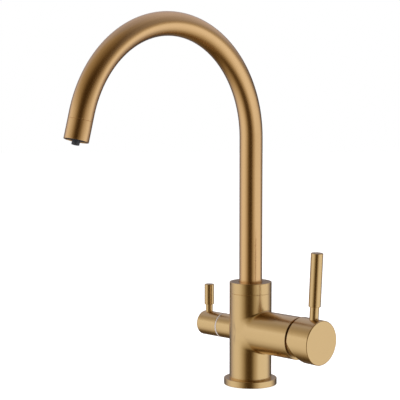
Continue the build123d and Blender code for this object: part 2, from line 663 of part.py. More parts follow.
# ================= mixer handle =================
with BuildPart() as cartridge_stem:
    bar_start = STEM_EYE_D / 2
    with BuildSketch(across(HANDLE, 0)):
        Rectangle(STEM_WIDTH, STEM_THICKNESS)
    extrude(amount=STEM_LENGTH)
    stem_eye = Plane(origin=HANDLE.origin, z_dir=(0, 1, 0))
    with BuildSketch(stem_eye):
        Circle(STEM_EYE_D / 2)
    extrude(amount=STEM_WIDTH / 2, both=True)
    ring(HANDLE, 0, STEM_NECK_D / 2, -STEM_BALL_ARM, 0)
    with Locations(HANDLE.from_local_coords((0, -STEM_BALL_ARM, 0))):
        Sphere(STEM_BALL_D / 2)
    drilled(
        (PIVOT_X, -STEM_WIDTH, ARM_Z),
        (PIVOT_X, STEM_WIDTH, ARM_Z),
        PIVOT_PIN_D + 2 * RUNNING,
    )
finished(cartridge_stem, "cartridge_stem")

with BuildPart() as mixer_cap:
    ring(HANDLE, 0, CAP_R, CAP_RIM, CAP_END)
    fillet(mixer_cap.faces().sort_by(Axis.X)[-1].edges(), CAP_EDGE)
    chamfer(mixer_cap.faces().sort_by(Axis.X)[0].edges(), SEAM)
    # cup, with a hub left in the middle
    cup_floor = CAP_END - CAP_END_WALL
    ring(HANDLE, HUB_D / 2, CAP_R - CAP_WALL, HUB_START, cup_floor, mode=Mode.SUBTRACT)
    ring(HANDLE, 0, CAP_R - CAP_WALL, CAP_RIM, HUB_START, mode=Mode.SUBTRACT)
    # rib from the hub up to the lever's seat
    with BuildSketch(across(HANDLE, cup_floor)) as rib:
        with Locations((0, (HUB_D / 2 + CAP_R - CAP_WALL) / 2)):
            Rectangle(LEVER_NECK_D + 2 * LEVER_BOSS_WALL, CAP_R - CAP_WALL - HUB_D / 2 + 2 * OVERRUN)
    extrude(rib.sketch, amount=HUB_START - cup_floor)
    # socket for the stem
    with BuildSketch(across(HANDLE, HUB_START)) as stem_socket:
        Rectangle(STEM_WIDTH + 2 * SEATED, STEM_THICKNESS + 2 * SEATED)
    extrude(stem_socket.sketch, amount=STEM_LENGTH - HUB_START, mode=Mode.SUBTRACT)
    # lever's seat and thread
    ring(LEVER, 0, LEVER_NECK_D / 2 + SEATED, LEVER_SEAT, CAP_R + OVERRUN, mode=Mode.SUBTRACT)
    ring(LEVER, 0, LEVER_STUD_D / 2 + SEATED, 0, LEVER_SEAT, mode=Mode.SUBTRACT)
    # underside relief: lets the cap tilt without meeting the arm
    relief = radians(RELIEF_ANGLE)
    rim_centre = HANDLE.from_local_coords((0, CAP_RIM, 0))
    with BuildSketch(Plane(origin=rim_centre, x_dir=LEAN_UP, z_dir=(0, 1, 0))) as wedge:
        with BuildLine():
            Polyline(
                (0, 0),
                (-2 * CAP_R * cos(relief), 2 * CAP_R * sin(relief)),
                (-2 * CAP_R, 0),
                close=True,
            )
        make_face()
    extrude(wedge.sketch, amount=2 * CAP_R, both=True, mode=Mode.SUBTRACT)
finished(mixer_cap, "mixer_cap")


def pin_lever(plane, seat, top, grip, radii, stud_end):
    """Turn a lever: threaded stud, slimmer neck and cylindrical grip."""
    stud_r, neck_r, grip_r = radii
    grip_start = top - grip
    ring(plane, 0, stud_r, stud_end, seat)
    ring(plane, 0, neck_r, seat, grip_start)
    ring(plane, 0, grip_r, grip_start, top)


with BuildPart() as mixer_lever:
    lever_radii = (LEVER_STUD_D / 2, LEVER_NECK_D / 2, LEVER_R)
    pin_lever(LEVER, LEVER_SEAT, LEVER_TOP, GRIP_L, lever_radii, LEVER_STUD_END)
    grip_rims = mixer_lever.edges().filter_by(GeomType.CIRCLE).filter_by(lambda e: e.radius > LEVER_R - 0.01)
    chamfer(grip_rims, LEVER_EDGE)
finished(mixer_lever, "mixer_lever")

with BuildPart() as mixer_grub_screw:
    grub_foot = STEM_THICKNESS / 2 + LEVER_STUD_D / 2 * sin(radians(LEVER_LEAN))
    ring(LEVER, 0, LEVER_STUD_D / 2, grub_foot, grub_foot + GRUB_L)
    keyed(LEVER, grub_foot + GRUB_L, GRUB_KEY, GRUB_KEY)
finished(mixer_grub_screw, "mixer_grub_screw")

# ================= filter valve, fixed pieces =================
def filter_ported(start, end):
    """Drill the filtered water ports through a piece of the filter valve."""
    for rise in (FILTER_PORT, -FILTER_PORT):
        drilled((-start, 0, ARM_Z + rise), (-end, 0, ARM_Z + rise), FILTER_WAY_D)


with BuildPart() as filter_valve_seal:
    ring(FILTER, 0, VALVE_D / 2, FILTER_SEAT, FIXED_VALVE_DISC)
    filter_ported(FILTER_SEAT, FIXED_VALVE_DISC)
finished(filter_valve_seal, "filter_valve_seal")

with BuildPart() as filter_fixed_disc:
    ring(FILTER, 0, VALVE_DISC_D / 2, FIXED_VALVE_DISC, MOVING_VALVE_DISC)
    filter_ported(FIXED_VALVE_DISC, MOVING_VALVE_DISC)
finished(filter_fixed_disc, "filter_fixed_disc")

SPINDLE_SEAL_SECTION_D = 1.0
SPINDLE_SEAL_PLACE = (VALVE_CHAMBER_END + GLAND_END) / 2
SPINDLE_BORE_R = SPINDLE_D / 2 + RUNNING

with BuildPart() as filter_valve_body:
    turned(
        FILTER,
        (VALVE_DISC_D / 2 + RUNNING, FIXED_VALVE_DISC),
        (VALVE_D / 2, FIXED_VALVE_DISC),
        (VALVE_D / 2, FILTER_ARM_END),
        (GLAND_D / 2, FILTER_ARM_END),
        (GLAND_D / 2, GLAND_END),
        (SPINDLE_BORE_R, GLAND_END),
        (SPINDLE_BORE_R, VALVE_CHAMBER_END),
        (VALVE_DISC_D / 2 + RUNNING, VALVE_CHAMBER_END),
    )
    half_width = SPINDLE_SEAL_SECTION_D / 2 + 0.3
    ring(
        FILTER,
        0,
        SPINDLE_BORE_R + SPINDLE_SEAL_SECTION_D,
        SPINDLE_SEAL_PLACE - half_width,
        SPINDLE_SEAL_PLACE + half_width,
        mode=Mode.SUBTRACT,
    )
finished(filter_valve_body, "filter_valve_body")

with BuildPart() as spindle_seal:
    seal_r = SPINDLE_BORE_R + SPINDLE_SEAL_SECTION_D / 2
    o_ring(FILTER, seal_r, SPINDLE_SEAL_PLACE, SPINDLE_SEAL_SECTION_D)
finished(spindle_seal, "spindle_seal")

with BuildPart() as filter_glide_ring:
    ring(FILTER, GLIDE_BORE_D / 2, GLIDE_D / 2, FILTER_ARM_END, FILTER_ARM_END + GLIDE_W)
    glide_rims = filter_glide_ring.edges().filter_by(GeomType.CIRCLE)
    chamfer(glide_rims.group_by(SortBy.RADIUS)[-1], GLIDE_EDGE)
finished(filter_glide_ring, "filter_glide_ring")

# ================= filter handle =================
with BuildPart() as filter_moving_disc:
    ring(FILTER, 0, VALVE_DISC_D / 2, MOVING_VALVE_DISC, SPINDLE_FOOT)
    # channel that joins the two ports after a quarter turn
    with BuildSketch(across(FILTER, MOVING_VALVE_DISC)) as channel:
        SlotOverall(2 * FILTER_PORT + FILTER_WAY_D, FILTER_WAY_D)
    extrude(channel.sketch, amount=VALVE_DISC_H / 2, mode=Mode.SUBTRACT)
finished(filter_moving_disc, "filter_moving_disc")

with BuildPart() as filter_spindle:
    ring(FILTER, 0, VALVE_DISC_D / 2 - RUNNING, SPINDLE_FOOT, SPINDLE_FOOT + SPINDLE_FOOT_H)
    ring(FILTER, 0, SPINDLE_D / 2, SPINDLE_FOOT + SPINDLE_FOOT_H, SPINDLE_END)
    clip_start = GLAND_END + PLAY
    ring(
        FILTER, CLIP_GROOVE_D / 2, SPINDLE_D, clip_start, clip_start + CLIP_W + PLAY, mode=Mode.SUBTRACT
    )
    # flat for the grub screw
    with BuildSketch(across(FILTER, SPINDLE_END - SPINDLE_FLAT_L)) as flat:
        with Locations((0, SPINDLE_FLAT + SPINDLE_D / 2)):
            Rectangle(2 * SPINDLE_D, SPINDLE_D)
    extrude(flat.sketch, amount=SPINDLE_FLAT_L, mode=Mode.SUBTRACT)
finished(filter_spindle, "filter_spindle")

with BuildPart() as spindle_clip:
    clip_place = clip_start + PLAY / 2
    with BuildSketch(across(FILTER, clip_place)):
        Circle(CLIP_D / 2)
        Circle(CLIP_GROOVE_D / 2 + SEATED, mode=Mode.SUBTRACT)
        with Locations((0, -CLIP_D / 2)):
            Rectangle(CLIP_GROOVE_D * 0.8, CLIP_D, mode=Mode.SUBTRACT)
    extrude(amount=CLIP_W)
finished(spindle_clip, "spindle_clip")

with BuildPart() as filter_knob:
    ring(FILTER, 0, KNOB_R, KNOB_START, KNOB_END)
    fillet(filter_knob.faces().sort_by(Axis.X)[0].edges(), KNOB_EDGE)
    chamfer(filter_knob.faces().sort_by(Axis.X)[-1].edges(), SEAM)
    pocket_end = KNOB_START + KNOB_POCKET
    ring(FILTER, 0, KNOB_POCKET_D / 2, KNOB_START, pocket_end, mode=Mode.SUBTRACT)
    ring(FILTER, 0, SPINDLE_D / 2 + SEATED, pocket_end, SPINDLE_END, mode=Mode.SUBTRACT)
    seat = FILTER_LEVER_SEAT
    ring(FILTER_LEVER, 0, FILTER_NECK_D / 2 + SEATED, seat, KNOB_R + OVERRUN, mode=Mode.SUBTRACT)
    ring(FILTER_LEVER, 0, FILTER_STUD_D / 2 + SEATED, 0, seat, mode=Mode.SUBTRACT)
finished(filter_knob, "filter_knob")

with BuildPart() as filter_lever:
    small_radii = (FILTER_STUD_D / 2, FILTER_NECK_D / 2, FILTER_LEVER_D / 2)
    pin_lever(
        FILTER_LEVER, FILTER_LEVER_SEAT, FILTER_LEVER_TOP, FILTER_GRIP_L, small_radii, FILTER_STUD_END
    )
    small_rims = filter_lever.edges().filter_by(GeomType.CIRCLE)
    chamfer(small_rims.filter_by(lambda e: e.radius > FILTER_LEVER_D / 2 - 0.01), LEVER_EDGE)
finished(filter_lever, "filter_lever")

with BuildPart() as filter_grub_screw:
    small_grub_top = SPINDLE_FLAT + FILTER_GRUB_L
    ring(FILTER_LEVER, 0, FILTER_STUD_D / 2, SPINDLE_FLAT, small_grub_top)
    keyed(FILTER_LEVER, small_grub_top, FILTER_GRUB_KEY, FILTER_GRUB_KEY)
finished(filter_grub_screw, "filter_grub_screw")

# ================= spout =================
with BuildPart() as spout_spigot:
    spigot_foot = CHAMBER_TOP_Z + FREE
    turned(
        UPRIGHT,
        (SPIGOT_BORE_D / 2, spigot_foot),
        (SPIGOT_D / 2, spigot_foot),
        (SPIGOT_D / 2, FLANGE_Z),
        (SPIGOT_FLANGE_D / 2, FLANGE_Z),
        (SPIGOT_FLANGE_D / 2, TUBE_FOOT_Z),
        (SPOUT_BORE_R - SEATED, TUBE_FOOT_Z),
        (SPOUT_BORE_R - SEATED, TUBE_FOOT_Z + SPIGOT_NIPPLE_L),
        (SPIGOT_BORE_D / 2, TUBE_FOOT_Z + SPIGOT_NIPPLE_L),
    )
    seal_places = [CHAMBER_TOP_Z + SEAL_BORE_H * share for share in SEAL_PLACES]
    for place in seal_places:
        ring(
            UPRIGHT,
            SPIGOT_D / 2 - SEAL_GROOVE_DEPTH,
            SPIGOT_D / 2 + 1,
            place - SEAL_GROOVE_W / 2,
            place + SEAL_GROOVE_W / 2,
            mode=Mode.SUBTRACT,
        )
finished(spout_spigot, "spout_spigot")

with BuildPart() as spout_seals:
    seal_r = SPIGOT_D / 2 - SEAL_GROOVE_DEPTH + SEAL_SECTION_D / 2
    for place in seal_places:
        o_ring(UPRIGHT, seal_r, place, SEAL_SECTION_D)
finished(spout_seals, "spout_seals")


def swan_neck(foot, straight, outer_r, inner_r):
    """Sweep a tube up the riser, round the bend and down the straight after it."""
    with BuildLine(Plane.YZ) as route:
        Line((0, foot), (0, RISER_TOP))
        JernArc((0, RISER_TOP), (0, 1), BEND_R, BEND_ANGLE)
        Line(
            (BEND_END_Y, BEND_END_Z),
            (BEND_END_Y + straight * SPOUT_HEADING[1], BEND_END_Z + straight * SPOUT_HEADING[2]),
        )
    with BuildSketch(Plane.XY.offset(foot)) as section:
        Circle(outer_r)
        Circle(inner_r, mode=Mode.SUBTRACT)
    sweep(section.sketch, path=route.wires()[0])


with BuildPart() as spout_tube:
    swan_neck(TUBE_FOOT_Z, SPOUT_STRAIGHT - TIP_L, SPOUT_R, SPOUT_BORE_R)
    mouth_rim = spout_tube.faces().filter_by(GeomType.PLANE).sort_by(Axis.Y)[0].edges()
    chamfer(mouth_rim.sort_by(SortBy.RADIUS)[-1], SEAM)
finished(spout_tube, "spout_tube")

with BuildPart() as spout_tip:
    socket_r = SPOUT_R - TIP_WALL
    turned(
        TIP,
        (socket_r, 0),
        (SPOUT_R - SEAM, 0),
        (SPOUT_R, SEAM),
        (SPOUT_R, TIP_L - SEAM),
        (SPOUT_R - SEAM, TIP_L),
        (SPOUT_BORE_R - SEATED, TIP_L),
        (SPOUT_BORE_R - SEATED, TIP_L + TIP_SPIGOT_L),
        (SPOUT_BORE_R - TIP_SPIGOT_WALL, TIP_L + TIP_SPIGOT_L),
        (SPOUT_BORE_R - TIP_SPIGOT_WALL, TIP_SOCKET),
        (socket_r, TIP_SOCKET),
    )
finished(spout_tip, "spout_tip")

with BuildPart() as aerator_insert:
    insert_r = socket_r - SEATED
    nozzle_hole_r = NOZZLE_D / 2 + SEATED
    jet_circle_r = (insert_r + nozzle_hole_r) / 2
    face_top = INSERT_RECESS + INSERT_FACE_H
    insert_top = INSERT_RECESS + INSERT_H
    ring(TIP, nozzle_hole_r, insert_r, INSERT_RECESS, insert_top)
    trough_inner = nozzle_hole_r + INSERT_CORE_WALL
    ring(TIP, trough_inner, insert_r - INSERT_WALL, face_top, insert_top, mode=Mode.SUBTRACT)
    with BuildSketch(across(TIP, INSERT_RECESS)) as jets:
        with PolarLocations(jet_circle_r, JET_COUNT):
            Circle(JET_D / 2)
    extrude(jets.sketch, amount=INSERT_FACE_H, mode=Mode.SUBTRACT)
finished(aerator_insert, "aerator_insert")

with BuildPart() as flow_screen:
    screen_top = insert_top + SCREEN_H
    ring(TIP, nozzle_hole_r + SEATED, insert_r, insert_top, screen_top)
    with BuildSketch(across(TIP, insert_top)) as screen_holes:
        with PolarLocations(jet_circle_r, SCREEN_HOLES):
            Circle(JET_D * 0.45)
    extrude(screen_holes.sketch, amount=SCREEN_H, mode=Mode.SUBTRACT)
finished(flow_screen, "flow_screen")

with BuildPart() as tip_seal:
    seal_top = screen_top + TIP_SEAL_H
    ring(TIP, insert_r - INSERT_WALL, insert_r, screen_top, seal_top)
finished(tip_seal, "tip_seal")

with BuildPart() as filter_nozzle:
    nozzle_top = NOZZLE_LENGTH - NOZZLE_REACH
    nozzle_socket = nozzle_top - NOZZLE_SOCKET_L
    turned(
        TIP,
        (NOZZLE_BORE_D / 2, -NOZZLE_REACH),
        (NOZZLE_D / 2 - NOZZLE_EDGE, -NOZZLE_REACH),
        (NOZZLE_D / 2, NOZZLE_EDGE - NOZZLE_REACH),
        (NOZZLE_D / 2, nozzle_top),
        (INNER_TUBE_D / 2 + SEATED, nozzle_top),
        (INNER_TUBE_D / 2 + SEATED, nozzle_socket),
        (NOZZLE_BORE_D / 2, nozzle_socket),
    )
finished(filter_nozzle, "filter_nozzle")

with BuildPart() as inner_filter_tube:
    inner_r = INNER_TUBE_D / 2 - INNER_TUBE_WALL
    tube_foot = CHAMBER_Z + FEED_FLANGE_H + FREE
    swan_neck(tube_foot, SPOUT_STRAIGHT - nozzle_socket, INNER_TUBE_D / 2, inner_r)
finished(inner_filter_tube, "inner_filter_tube")

reach = -TIP_END[1]
height = RISER_TOP + BEND_R + SPOUT_R
print(f"height {height:.1f}, reach {reach:.1f}, outlet {TIP_END[2]:.1f} above the worktop")
print(f"flow disc travel {DISC_TRAVEL:.3f}, per radian {DISC_TRAVEL / radians(LIFT):.4f}")
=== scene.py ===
"""Three way filtered water tap: swan neck kitchen tap in brushed gold, with a side lever for
hot and cold water and a small lever for filtered water.

Laid out as an add-on: sizes and finishes are properties, and each group of pieces is an operator.
"""

import json
from math import cos, pi, radians, sin

import bmesh
import bpy
import numpy as np
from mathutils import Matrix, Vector


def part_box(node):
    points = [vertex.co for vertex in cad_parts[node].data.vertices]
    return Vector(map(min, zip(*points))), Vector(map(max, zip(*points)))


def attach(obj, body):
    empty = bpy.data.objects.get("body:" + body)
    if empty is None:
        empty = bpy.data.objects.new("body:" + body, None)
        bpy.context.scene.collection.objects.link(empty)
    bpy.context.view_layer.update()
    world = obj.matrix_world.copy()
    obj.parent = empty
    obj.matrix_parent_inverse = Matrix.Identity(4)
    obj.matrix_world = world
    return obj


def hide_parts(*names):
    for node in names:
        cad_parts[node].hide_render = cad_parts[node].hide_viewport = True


bl_info = {
    "name": "Three way filtered water tap",
    "version": (1, 0, 0),
    "blender": (4, 5, 0),
    "location": "3D View > Sidebar > Tap",
    "description": "Builds the visible surfaces and finishes of a three way filtered water tap",
    "category": "Add Mesh",
}

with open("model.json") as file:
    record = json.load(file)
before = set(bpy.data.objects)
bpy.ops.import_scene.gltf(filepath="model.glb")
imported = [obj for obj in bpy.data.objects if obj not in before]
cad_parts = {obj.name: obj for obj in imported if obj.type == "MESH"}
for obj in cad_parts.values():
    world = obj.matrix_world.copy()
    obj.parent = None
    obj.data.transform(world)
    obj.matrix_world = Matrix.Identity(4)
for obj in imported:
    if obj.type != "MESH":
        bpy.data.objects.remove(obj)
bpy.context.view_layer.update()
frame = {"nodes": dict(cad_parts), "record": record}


def length(name, description, default):
    """A length that a user would change, in metres."""
    return bpy.props.FloatProperty(
        name=name, description=description, default=default, unit="LENGTH", precision=5
    )


def angle(name, description, default):
    """An angle that a user would change, given in degrees."""
    return bpy.props.FloatProperty(
        name=name, description=description, default=radians(default), subtype="ANGLE"
    )


def tint(name, description, default):
    """A colour that a user would change, as an sRGB hex value."""
    return bpy.props.StringProperty(name=name, description=description, default=default, maxlen=7)


# ---------------------------------------------------------------- properties


class TapBodySizes(bpy.types.PropertyGroup):
    """Foot, barrel, collar and the two arms."""

    base_radius: length("Base ring", "Radius of the ring on the worktop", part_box("base_ring")[1].x)
    base_height: length("Ring height", "Height of the base ring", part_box("base_ring")[1].z)
    base_edge: length("Ring edge", "Softening of the base ring's edges", 0.00055)
    shank_radius: length("Shank", "Radius of the hole in the base ring", 0.01752)
    groove_inner: length("Groove inside", "Inner radius of the seal's groove", 0.0208)
    groove_outer: length("Groove outside", "Outer radius of the seal's groove", 0.0240)
    groove_depth: length("Groove depth", "Depth of the seal's groove", 0.0019)
    barrel_radius: length("Barrel", "Radius of the barrel", 0.0211)
    collar_foot: length("Collar foot", "Height of the joint under the collar", 0.0924)
    collar_top: length("Collar top", "Height of the collar's top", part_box("spout_collar")[1].z)
    collar_lip: length("Collar lip", "Radius of the collar's hole", 0.0119)
    collar_edge: length("Collar edge", "Softening of the collar's top edge", 0.00045)
    arm_height: length("Arm height", "Height of the arms' axis", 0.0543)
    arm_radius: length("Mixer arm", "Radius of the mixer arm", 0.02105)
    arm_end: length("Mixer arm end", "End of the mixer arm, from the barrel's axis", 0.0656)
    stub_radius: length("Filter arm", "Radius of the filter arm", 0.01225)
    crease: length("Crease", "Reach of the crease at an arm's top to each side", 0.0015)
    front_crease: length("Front crease", "Reach of the mixer arm's crease at its front", 0.010)
    seam: length("Seam", "Bevel each side of a joint line", 0.00026)


class TapSpoutSizes(bpy.types.PropertyGroup):
    """Swan neck, tip and nozzle."""

    tube_radius: length("Tube", "Outer radius of the spout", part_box("spout_tube")[1].x)
    bore_radius: length("Bore", "Inner radius of the spout", 0.00995)
    foot: length(
        "Foot", "Height of the tube's lower end, inside the collar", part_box("spout_tube")[0].z
    )
    riser_top: length("Riser top", "Height at which the bend begins", 0.2468)
    bend_radius: length("Bend", "Radius of the bend's middle line", 0.1104)
    bend_angle: angle("Bend angle", "How far the bend turns", 164.6)
    straight: length("Straight", "Straight run after the bend, with the tip sleeve", 0.0252)
    tip_length: length("Tip sleeve", "Length of the tip sleeve", 0.0186)
    tip_socket_radius: length("Tip mouth", "Radius of the tip sleeve's mouth", 0.0102)
    nozzle_radius: length("Nozzle", "Radius of the filtered water nozzle", 0.00365)
    nozzle_reach: length("Nozzle reach", "How far the nozzle stands out of the tip", 0.0038)


class TapHandleSizes(bpy.types.PropertyGroup):
    """Mixer cap with its lever, and filter knob with its lever."""

    pivot: length("Pivot", "Distance of the mixer handle's pivot from the barrel's axis", 0.0585)
    lean: angle("Lean", "Lean of the closed mixer handle", 1.3)
    cap_radius: length("Cap", "Radius of the mixer cap", 0.0219)
    cap_rim: length("Cap rim", "Rim of the cap, from the pivot", 0.0099)
    cap_end: length("Cap end", "End face of the cap, from the pivot", 0.0359)
    cap_wall: length("Cap wall", "Wall of the cap's skirt", 0.0016)
    cap_end_wall: length("Cap end wall", "Wall of the cap's end", 0.003)
    cap_edge: length("Cap edge", "Softening of the cap's end edge", 0.0009)
    hub_radius: length("Hub", "Radius of the hub inside the cap", 0.0075)
    hub_start: length("Hub start", "Front of the hub, from the pivot", 0.0203)
    relief: angle("Relief", "Slope of the cut under the cap", 30)
    lever_place: length("Lever place", "Lever's axis, from the pivot", 0.0247)
    lever_lean: angle(
        "Lever lean", "How much further than the cap the mixer lever leans", 1.7
    )
    lever_radius: length("Lever", "Radius of the mixer lever's grip", 0.00595)
    lever_top: length("Lever top", "Top of the mixer lever, from the cap's axis", 0.0863)
    grip: length("Grip", "Length of the mixer lever's grip", 0.0522)
    neck_radius: length("Neck", "Radius of the mixer lever's neck", 0.0045)
    stub_end: length("Filter arm end", "End of the filter arm, from the barrel's axis", 0.0371)
    glide_radius: length("Glide ring", "Radius of the pale ring", 0.01245)
    glide_width: length("Glide width", "Width of the pale ring", 0.0016)
    knob_radius: length("Knob", "Radius of the filter knob", 0.0123)
    knob_end: length(
        "Knob end", "End face of the knob, from the barrel's axis", -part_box("filter_knob")[0].x
    )
    knob_edge: length("Knob edge", "Softening of the knob's end edge", 0.0015)
    small_lever_inset: length(
        "Small lever inset", "Small lever's axis, from the knob's end", 0.0067
    )
    small_lever_radius: length("Small lever", "Radius of the small lever's grip", 0.0049)
    small_lever_top: length(
        "Small lever top", "Top of the small lever, from the arm's axis", 0.0403
    )
    small_grip: length("Small grip", "Length of the small lever's grip", 0.0209)
    small_neck: length("Small neck", "Radius of the small lever's neck", 0.0036)


class TapFinishes(bpy.types.PropertyGroup):
    """Colours of the finishes."""

    gold: tint("Gold", "Brushed gold coating", "#E1C28F")
    spout_gold: tint(
        "Spout gold", "Brushed gold coating of the drawn spout, a little redder", "#E9C28F"
    )
    brass: tint("Brass", "Bare machined brass inside", "#D8B566")
    pale_ring: tint("Pale ring", "Ring at the filter knob", "#D5CCC8")
    insert: tint("Insert", "Black insert in the tip", "#17171A")
    nozzle: tint("Nozzle", "Dark grey nozzle", "#3A3D42")
    gold_roughness: bpy.props.FloatProperty(
        name="Satin", description="Roughness of the brushed gold", default=0.26, min=0.05, max=0.8
    )


class TapStudio(bpy.types.PropertyGroup):
    """Camera, floor and light."""

    camera_place: bpy.props.FloatVectorProperty(
        name="Camera",
        description="Place of the camera",
        default=(0.9968, -1.0415, 0.3157),
        unit="LENGTH",
    )
    heading: angle("Heading", "Camera's heading from +Y to -X", 45.756)
    pitch: angle("Pitch", "How far the camera looks down", 5.179)
    lens: bpy.props.FloatProperty(name="Lens", description="Focal length in mm", default=130.89)
    floor_radius: length("Floor", "Radius of the floor", 4.0)
    wall: tint("Wall", "Colour of the wall behind the tap and on its right", "#EDEBFF")


GROUPS = {
    "tap_body": TapBodySizes,
    "tap_spout": TapSpoutSizes,
    "tap_handles": TapHandleSizes,
    "tap_finishes": TapFinishes,
    "tap_studio": TapStudio,
}


# ---------------------------------------------------------------- hidden and small sizes

# All in metres, and all for what a user would leave alone. Bores and seats are where the CAD has
# them.

# collar: sleeve round the swivel bush, skirt in the casting's socket
COLLAR_SLEEVE, COLLAR_SKIRT = 0.01327, 0.01698
COLLAR_SKIRT_DEPTH, COLLAR_LIP_HEIGHT = 0.0023, 0.0014
# body casting: radius of each bore, and how far from the barrel's axis or how high it ends
CARTRIDGE_BORE, CARTRIDGE_SEAT = 0.0175, 0.0252
MOUTH_BORE, MOUTH_SHOULDER = 0.0195, 0.0557
VALVE_BORE, VALVE_SEAT = 0.00917, 0.017
COLLAR_SOCKET, COLLAR_SEAT = 0.017, 0.085
SPIGOT_BORE, CHAMBER_TOP = 0.013, 0.074
CHAMBER_BORE, CHAMBER_FLOOR = 0.0095, 0.068
INLET_BORE, INLET_ROOF = 0.01502, 0.02
SHANK = 0.0175
# tip sleeve: seat of the insert, and the thinner neck that slips into the tube
INSERT_SEAT = 0.0126
TIP_NECK_LENGTH, TIP_NECK_WALL, TIP_NECK_GAP = 0.0056, 0.0017, 0.00002
# nozzle: bore, wider bore behind it for the feed spigot, and where the two meet and end
NOZZLE_BORE, NOZZLE_FEED_BORE = 0.0019, 0.00302
NOZZLE_STEP, NOZZLE_BACK = 0.008, 0.014
# levers: radius of the stud, and where it starts, from the handle's axis
STUD, STUD_FOOT = 0.0025, 0.0096
SMALL_STUD, SMALL_STUD_FOOT = 0.0021, 0.0066
# filter handle: bore of the pale ring, bore and cup of the knob
GLIDE_BORE = 0.0096
KNOB_GAP, KNOB_END_WALL = 0.0001, 0.0035
SPINDLE_BORE, KNOB_CUP, KNOB_CUP_DEPTH = 0.00342, 0.010, 0.0072

# radii of small rounded edges
BROKEN_EDGE = 0.0002
RIM_EDGE = 0.00025
THIN_EDGE = 0.0003
HUB_EDGE = 0.0004
NOZZLE_EDGE = 0.0005
CUP_EDGE = 0.0008

# meshes
TUBE_STEP = 0.004  # longest step along the spout
EDGE_POINTS = 7  # round each rounded edge
GUARD_SHARE = 0.3  # most of a side that is held flat next to a rounded edge
WELD = 1e-6  # within which points are one
SHARP_ANGLE = radians(32)  # over which an edge is shaded as sharp
NUDGE = 1e-7  # for slopes
TOUCHING = 1e-7  # within which a point is on a border
GRAIN_BLEND = 0.003  # width over which brush lines turn from the barrel's to an arm's
LAYING_STEPS = 8  # that lay the casting's points on their surface


# ---------------------------------------------------------------- surfaces


def softened(corners, closed=True):
    """An outline of (radius, distance, edge) corners with its edges rounded.

    A corner P between two sides that meet at angle 2h becomes the arc of radius e about the point
    at e / sin h along the sides' bisector, from one touch point at e / tan h to the other. A point
    a little further along each side keeps the flat next to it flat.
    """
    points = np.array([c[:2] for c in corners], float)
    rows = []
    for i, corner in enumerate(corners):
        here, edge = points[i], corner[2] if len(corner) > 2 else 0.0
        if edge == 0.0 or (not closed and i in (0, len(corners) - 1)):
            rows.append(here[None])
            continue
        back, on = points[i - 1] - here, points[(i + 1) % len(points)] - here
        room = GUARD_SHARE * np.array([np.linalg.norm(back), np.linalg.norm(on)])
        back, on = back / np.linalg.norm(back), on / np.linalg.norm(on)
        half = np.arccos(back @ on) / 2
        reach = edge / np.tan(half)
        middle = here + (back + on) / np.linalg.norm(back + on) * edge / np.sin(half)
        start, end = here + back * reach - middle, here + on * reach - middle
        turn = pi - 2 * half
        t = np.linspace(0, 1, EDGE_POINTS)[:, None]
        arc = (np.sin((1 - t) * turn) * start + np.sin(t * turn) * end) / np.sin(turn)
        guard = np.minimum(edge, room)
        rows += [
            (middle + start + back * guard[0])[None],
            middle + arc,
            (middle + end + on * guard[1])[None],
        ]
    return np.concatenate(rows)


def divided(outline, step):
    """The same closed outline with more points, so that no side is longer than step."""
    following = np.roll(outline, -1, axis=0)
    counts = np.ceil(np.linalg.norm(following - outline, axis=1) / step).astype(int).clip(1)
    share = np.concatenate([np.arange(n) / n for n in counts])[:, None]
    start, end = np.repeat(outline, counts, axis=0), np.repeat(following, counts, axis=0)
    return start * (1 - share) + end * share


def straight_axis(origin, along, side):
    """Carries (radius r, distance h, angle t) along a straight axis.

    The point is origin + h·along + r·(cos t·side + sin t·cross), cross being square to both.
    """
    origin, along, side = (np.array(v, float) for v in (origin, along, side))
    cross = np.cross(along, side)

    def carry(r, h, t):
        return (
            origin
            + h[..., None] * along
            + (r * np.cos(t))[..., None] * side
            + (r * np.sin(t))[..., None] * cross
        )

    return carry


def swan_neck(sizes):
    """Carries (radius r, distance s from the foot, angle t) to the swan neck.

    With a the angle turned so far, the middle line is (0, -R(1 - cos a), top + R sin a) plus the
    straight rest along the heading (0, -sin a, cos a); the ring stands square to that heading.
    """
    rise, bend = sizes.riser_top - sizes.foot, sizes.bend_radius

    def carry(r, s, t):
        a = np.clip((s - rise) / bend, 0, sizes.bend_angle)
        rest = s - rise - bend * a
        zero = np.zeros_like(a)
        heading = np.stack([zero, -np.sin(a), np.cos(a)], -1)
        inward = np.stack([zero, -np.cos(a), -np.sin(a)], -1)
        middle = np.stack([zero, bend * (np.cos(a) - 1), sizes.riser_top + bend * np.sin(a)], -1)
        side = np.array([1.0, 0, 0])
        return (
            middle
            + rest[..., None] * heading
            + (r * np.cos(t))[..., None] * side
            + (r * np.sin(t))[..., None] * inward
        )

    return carry


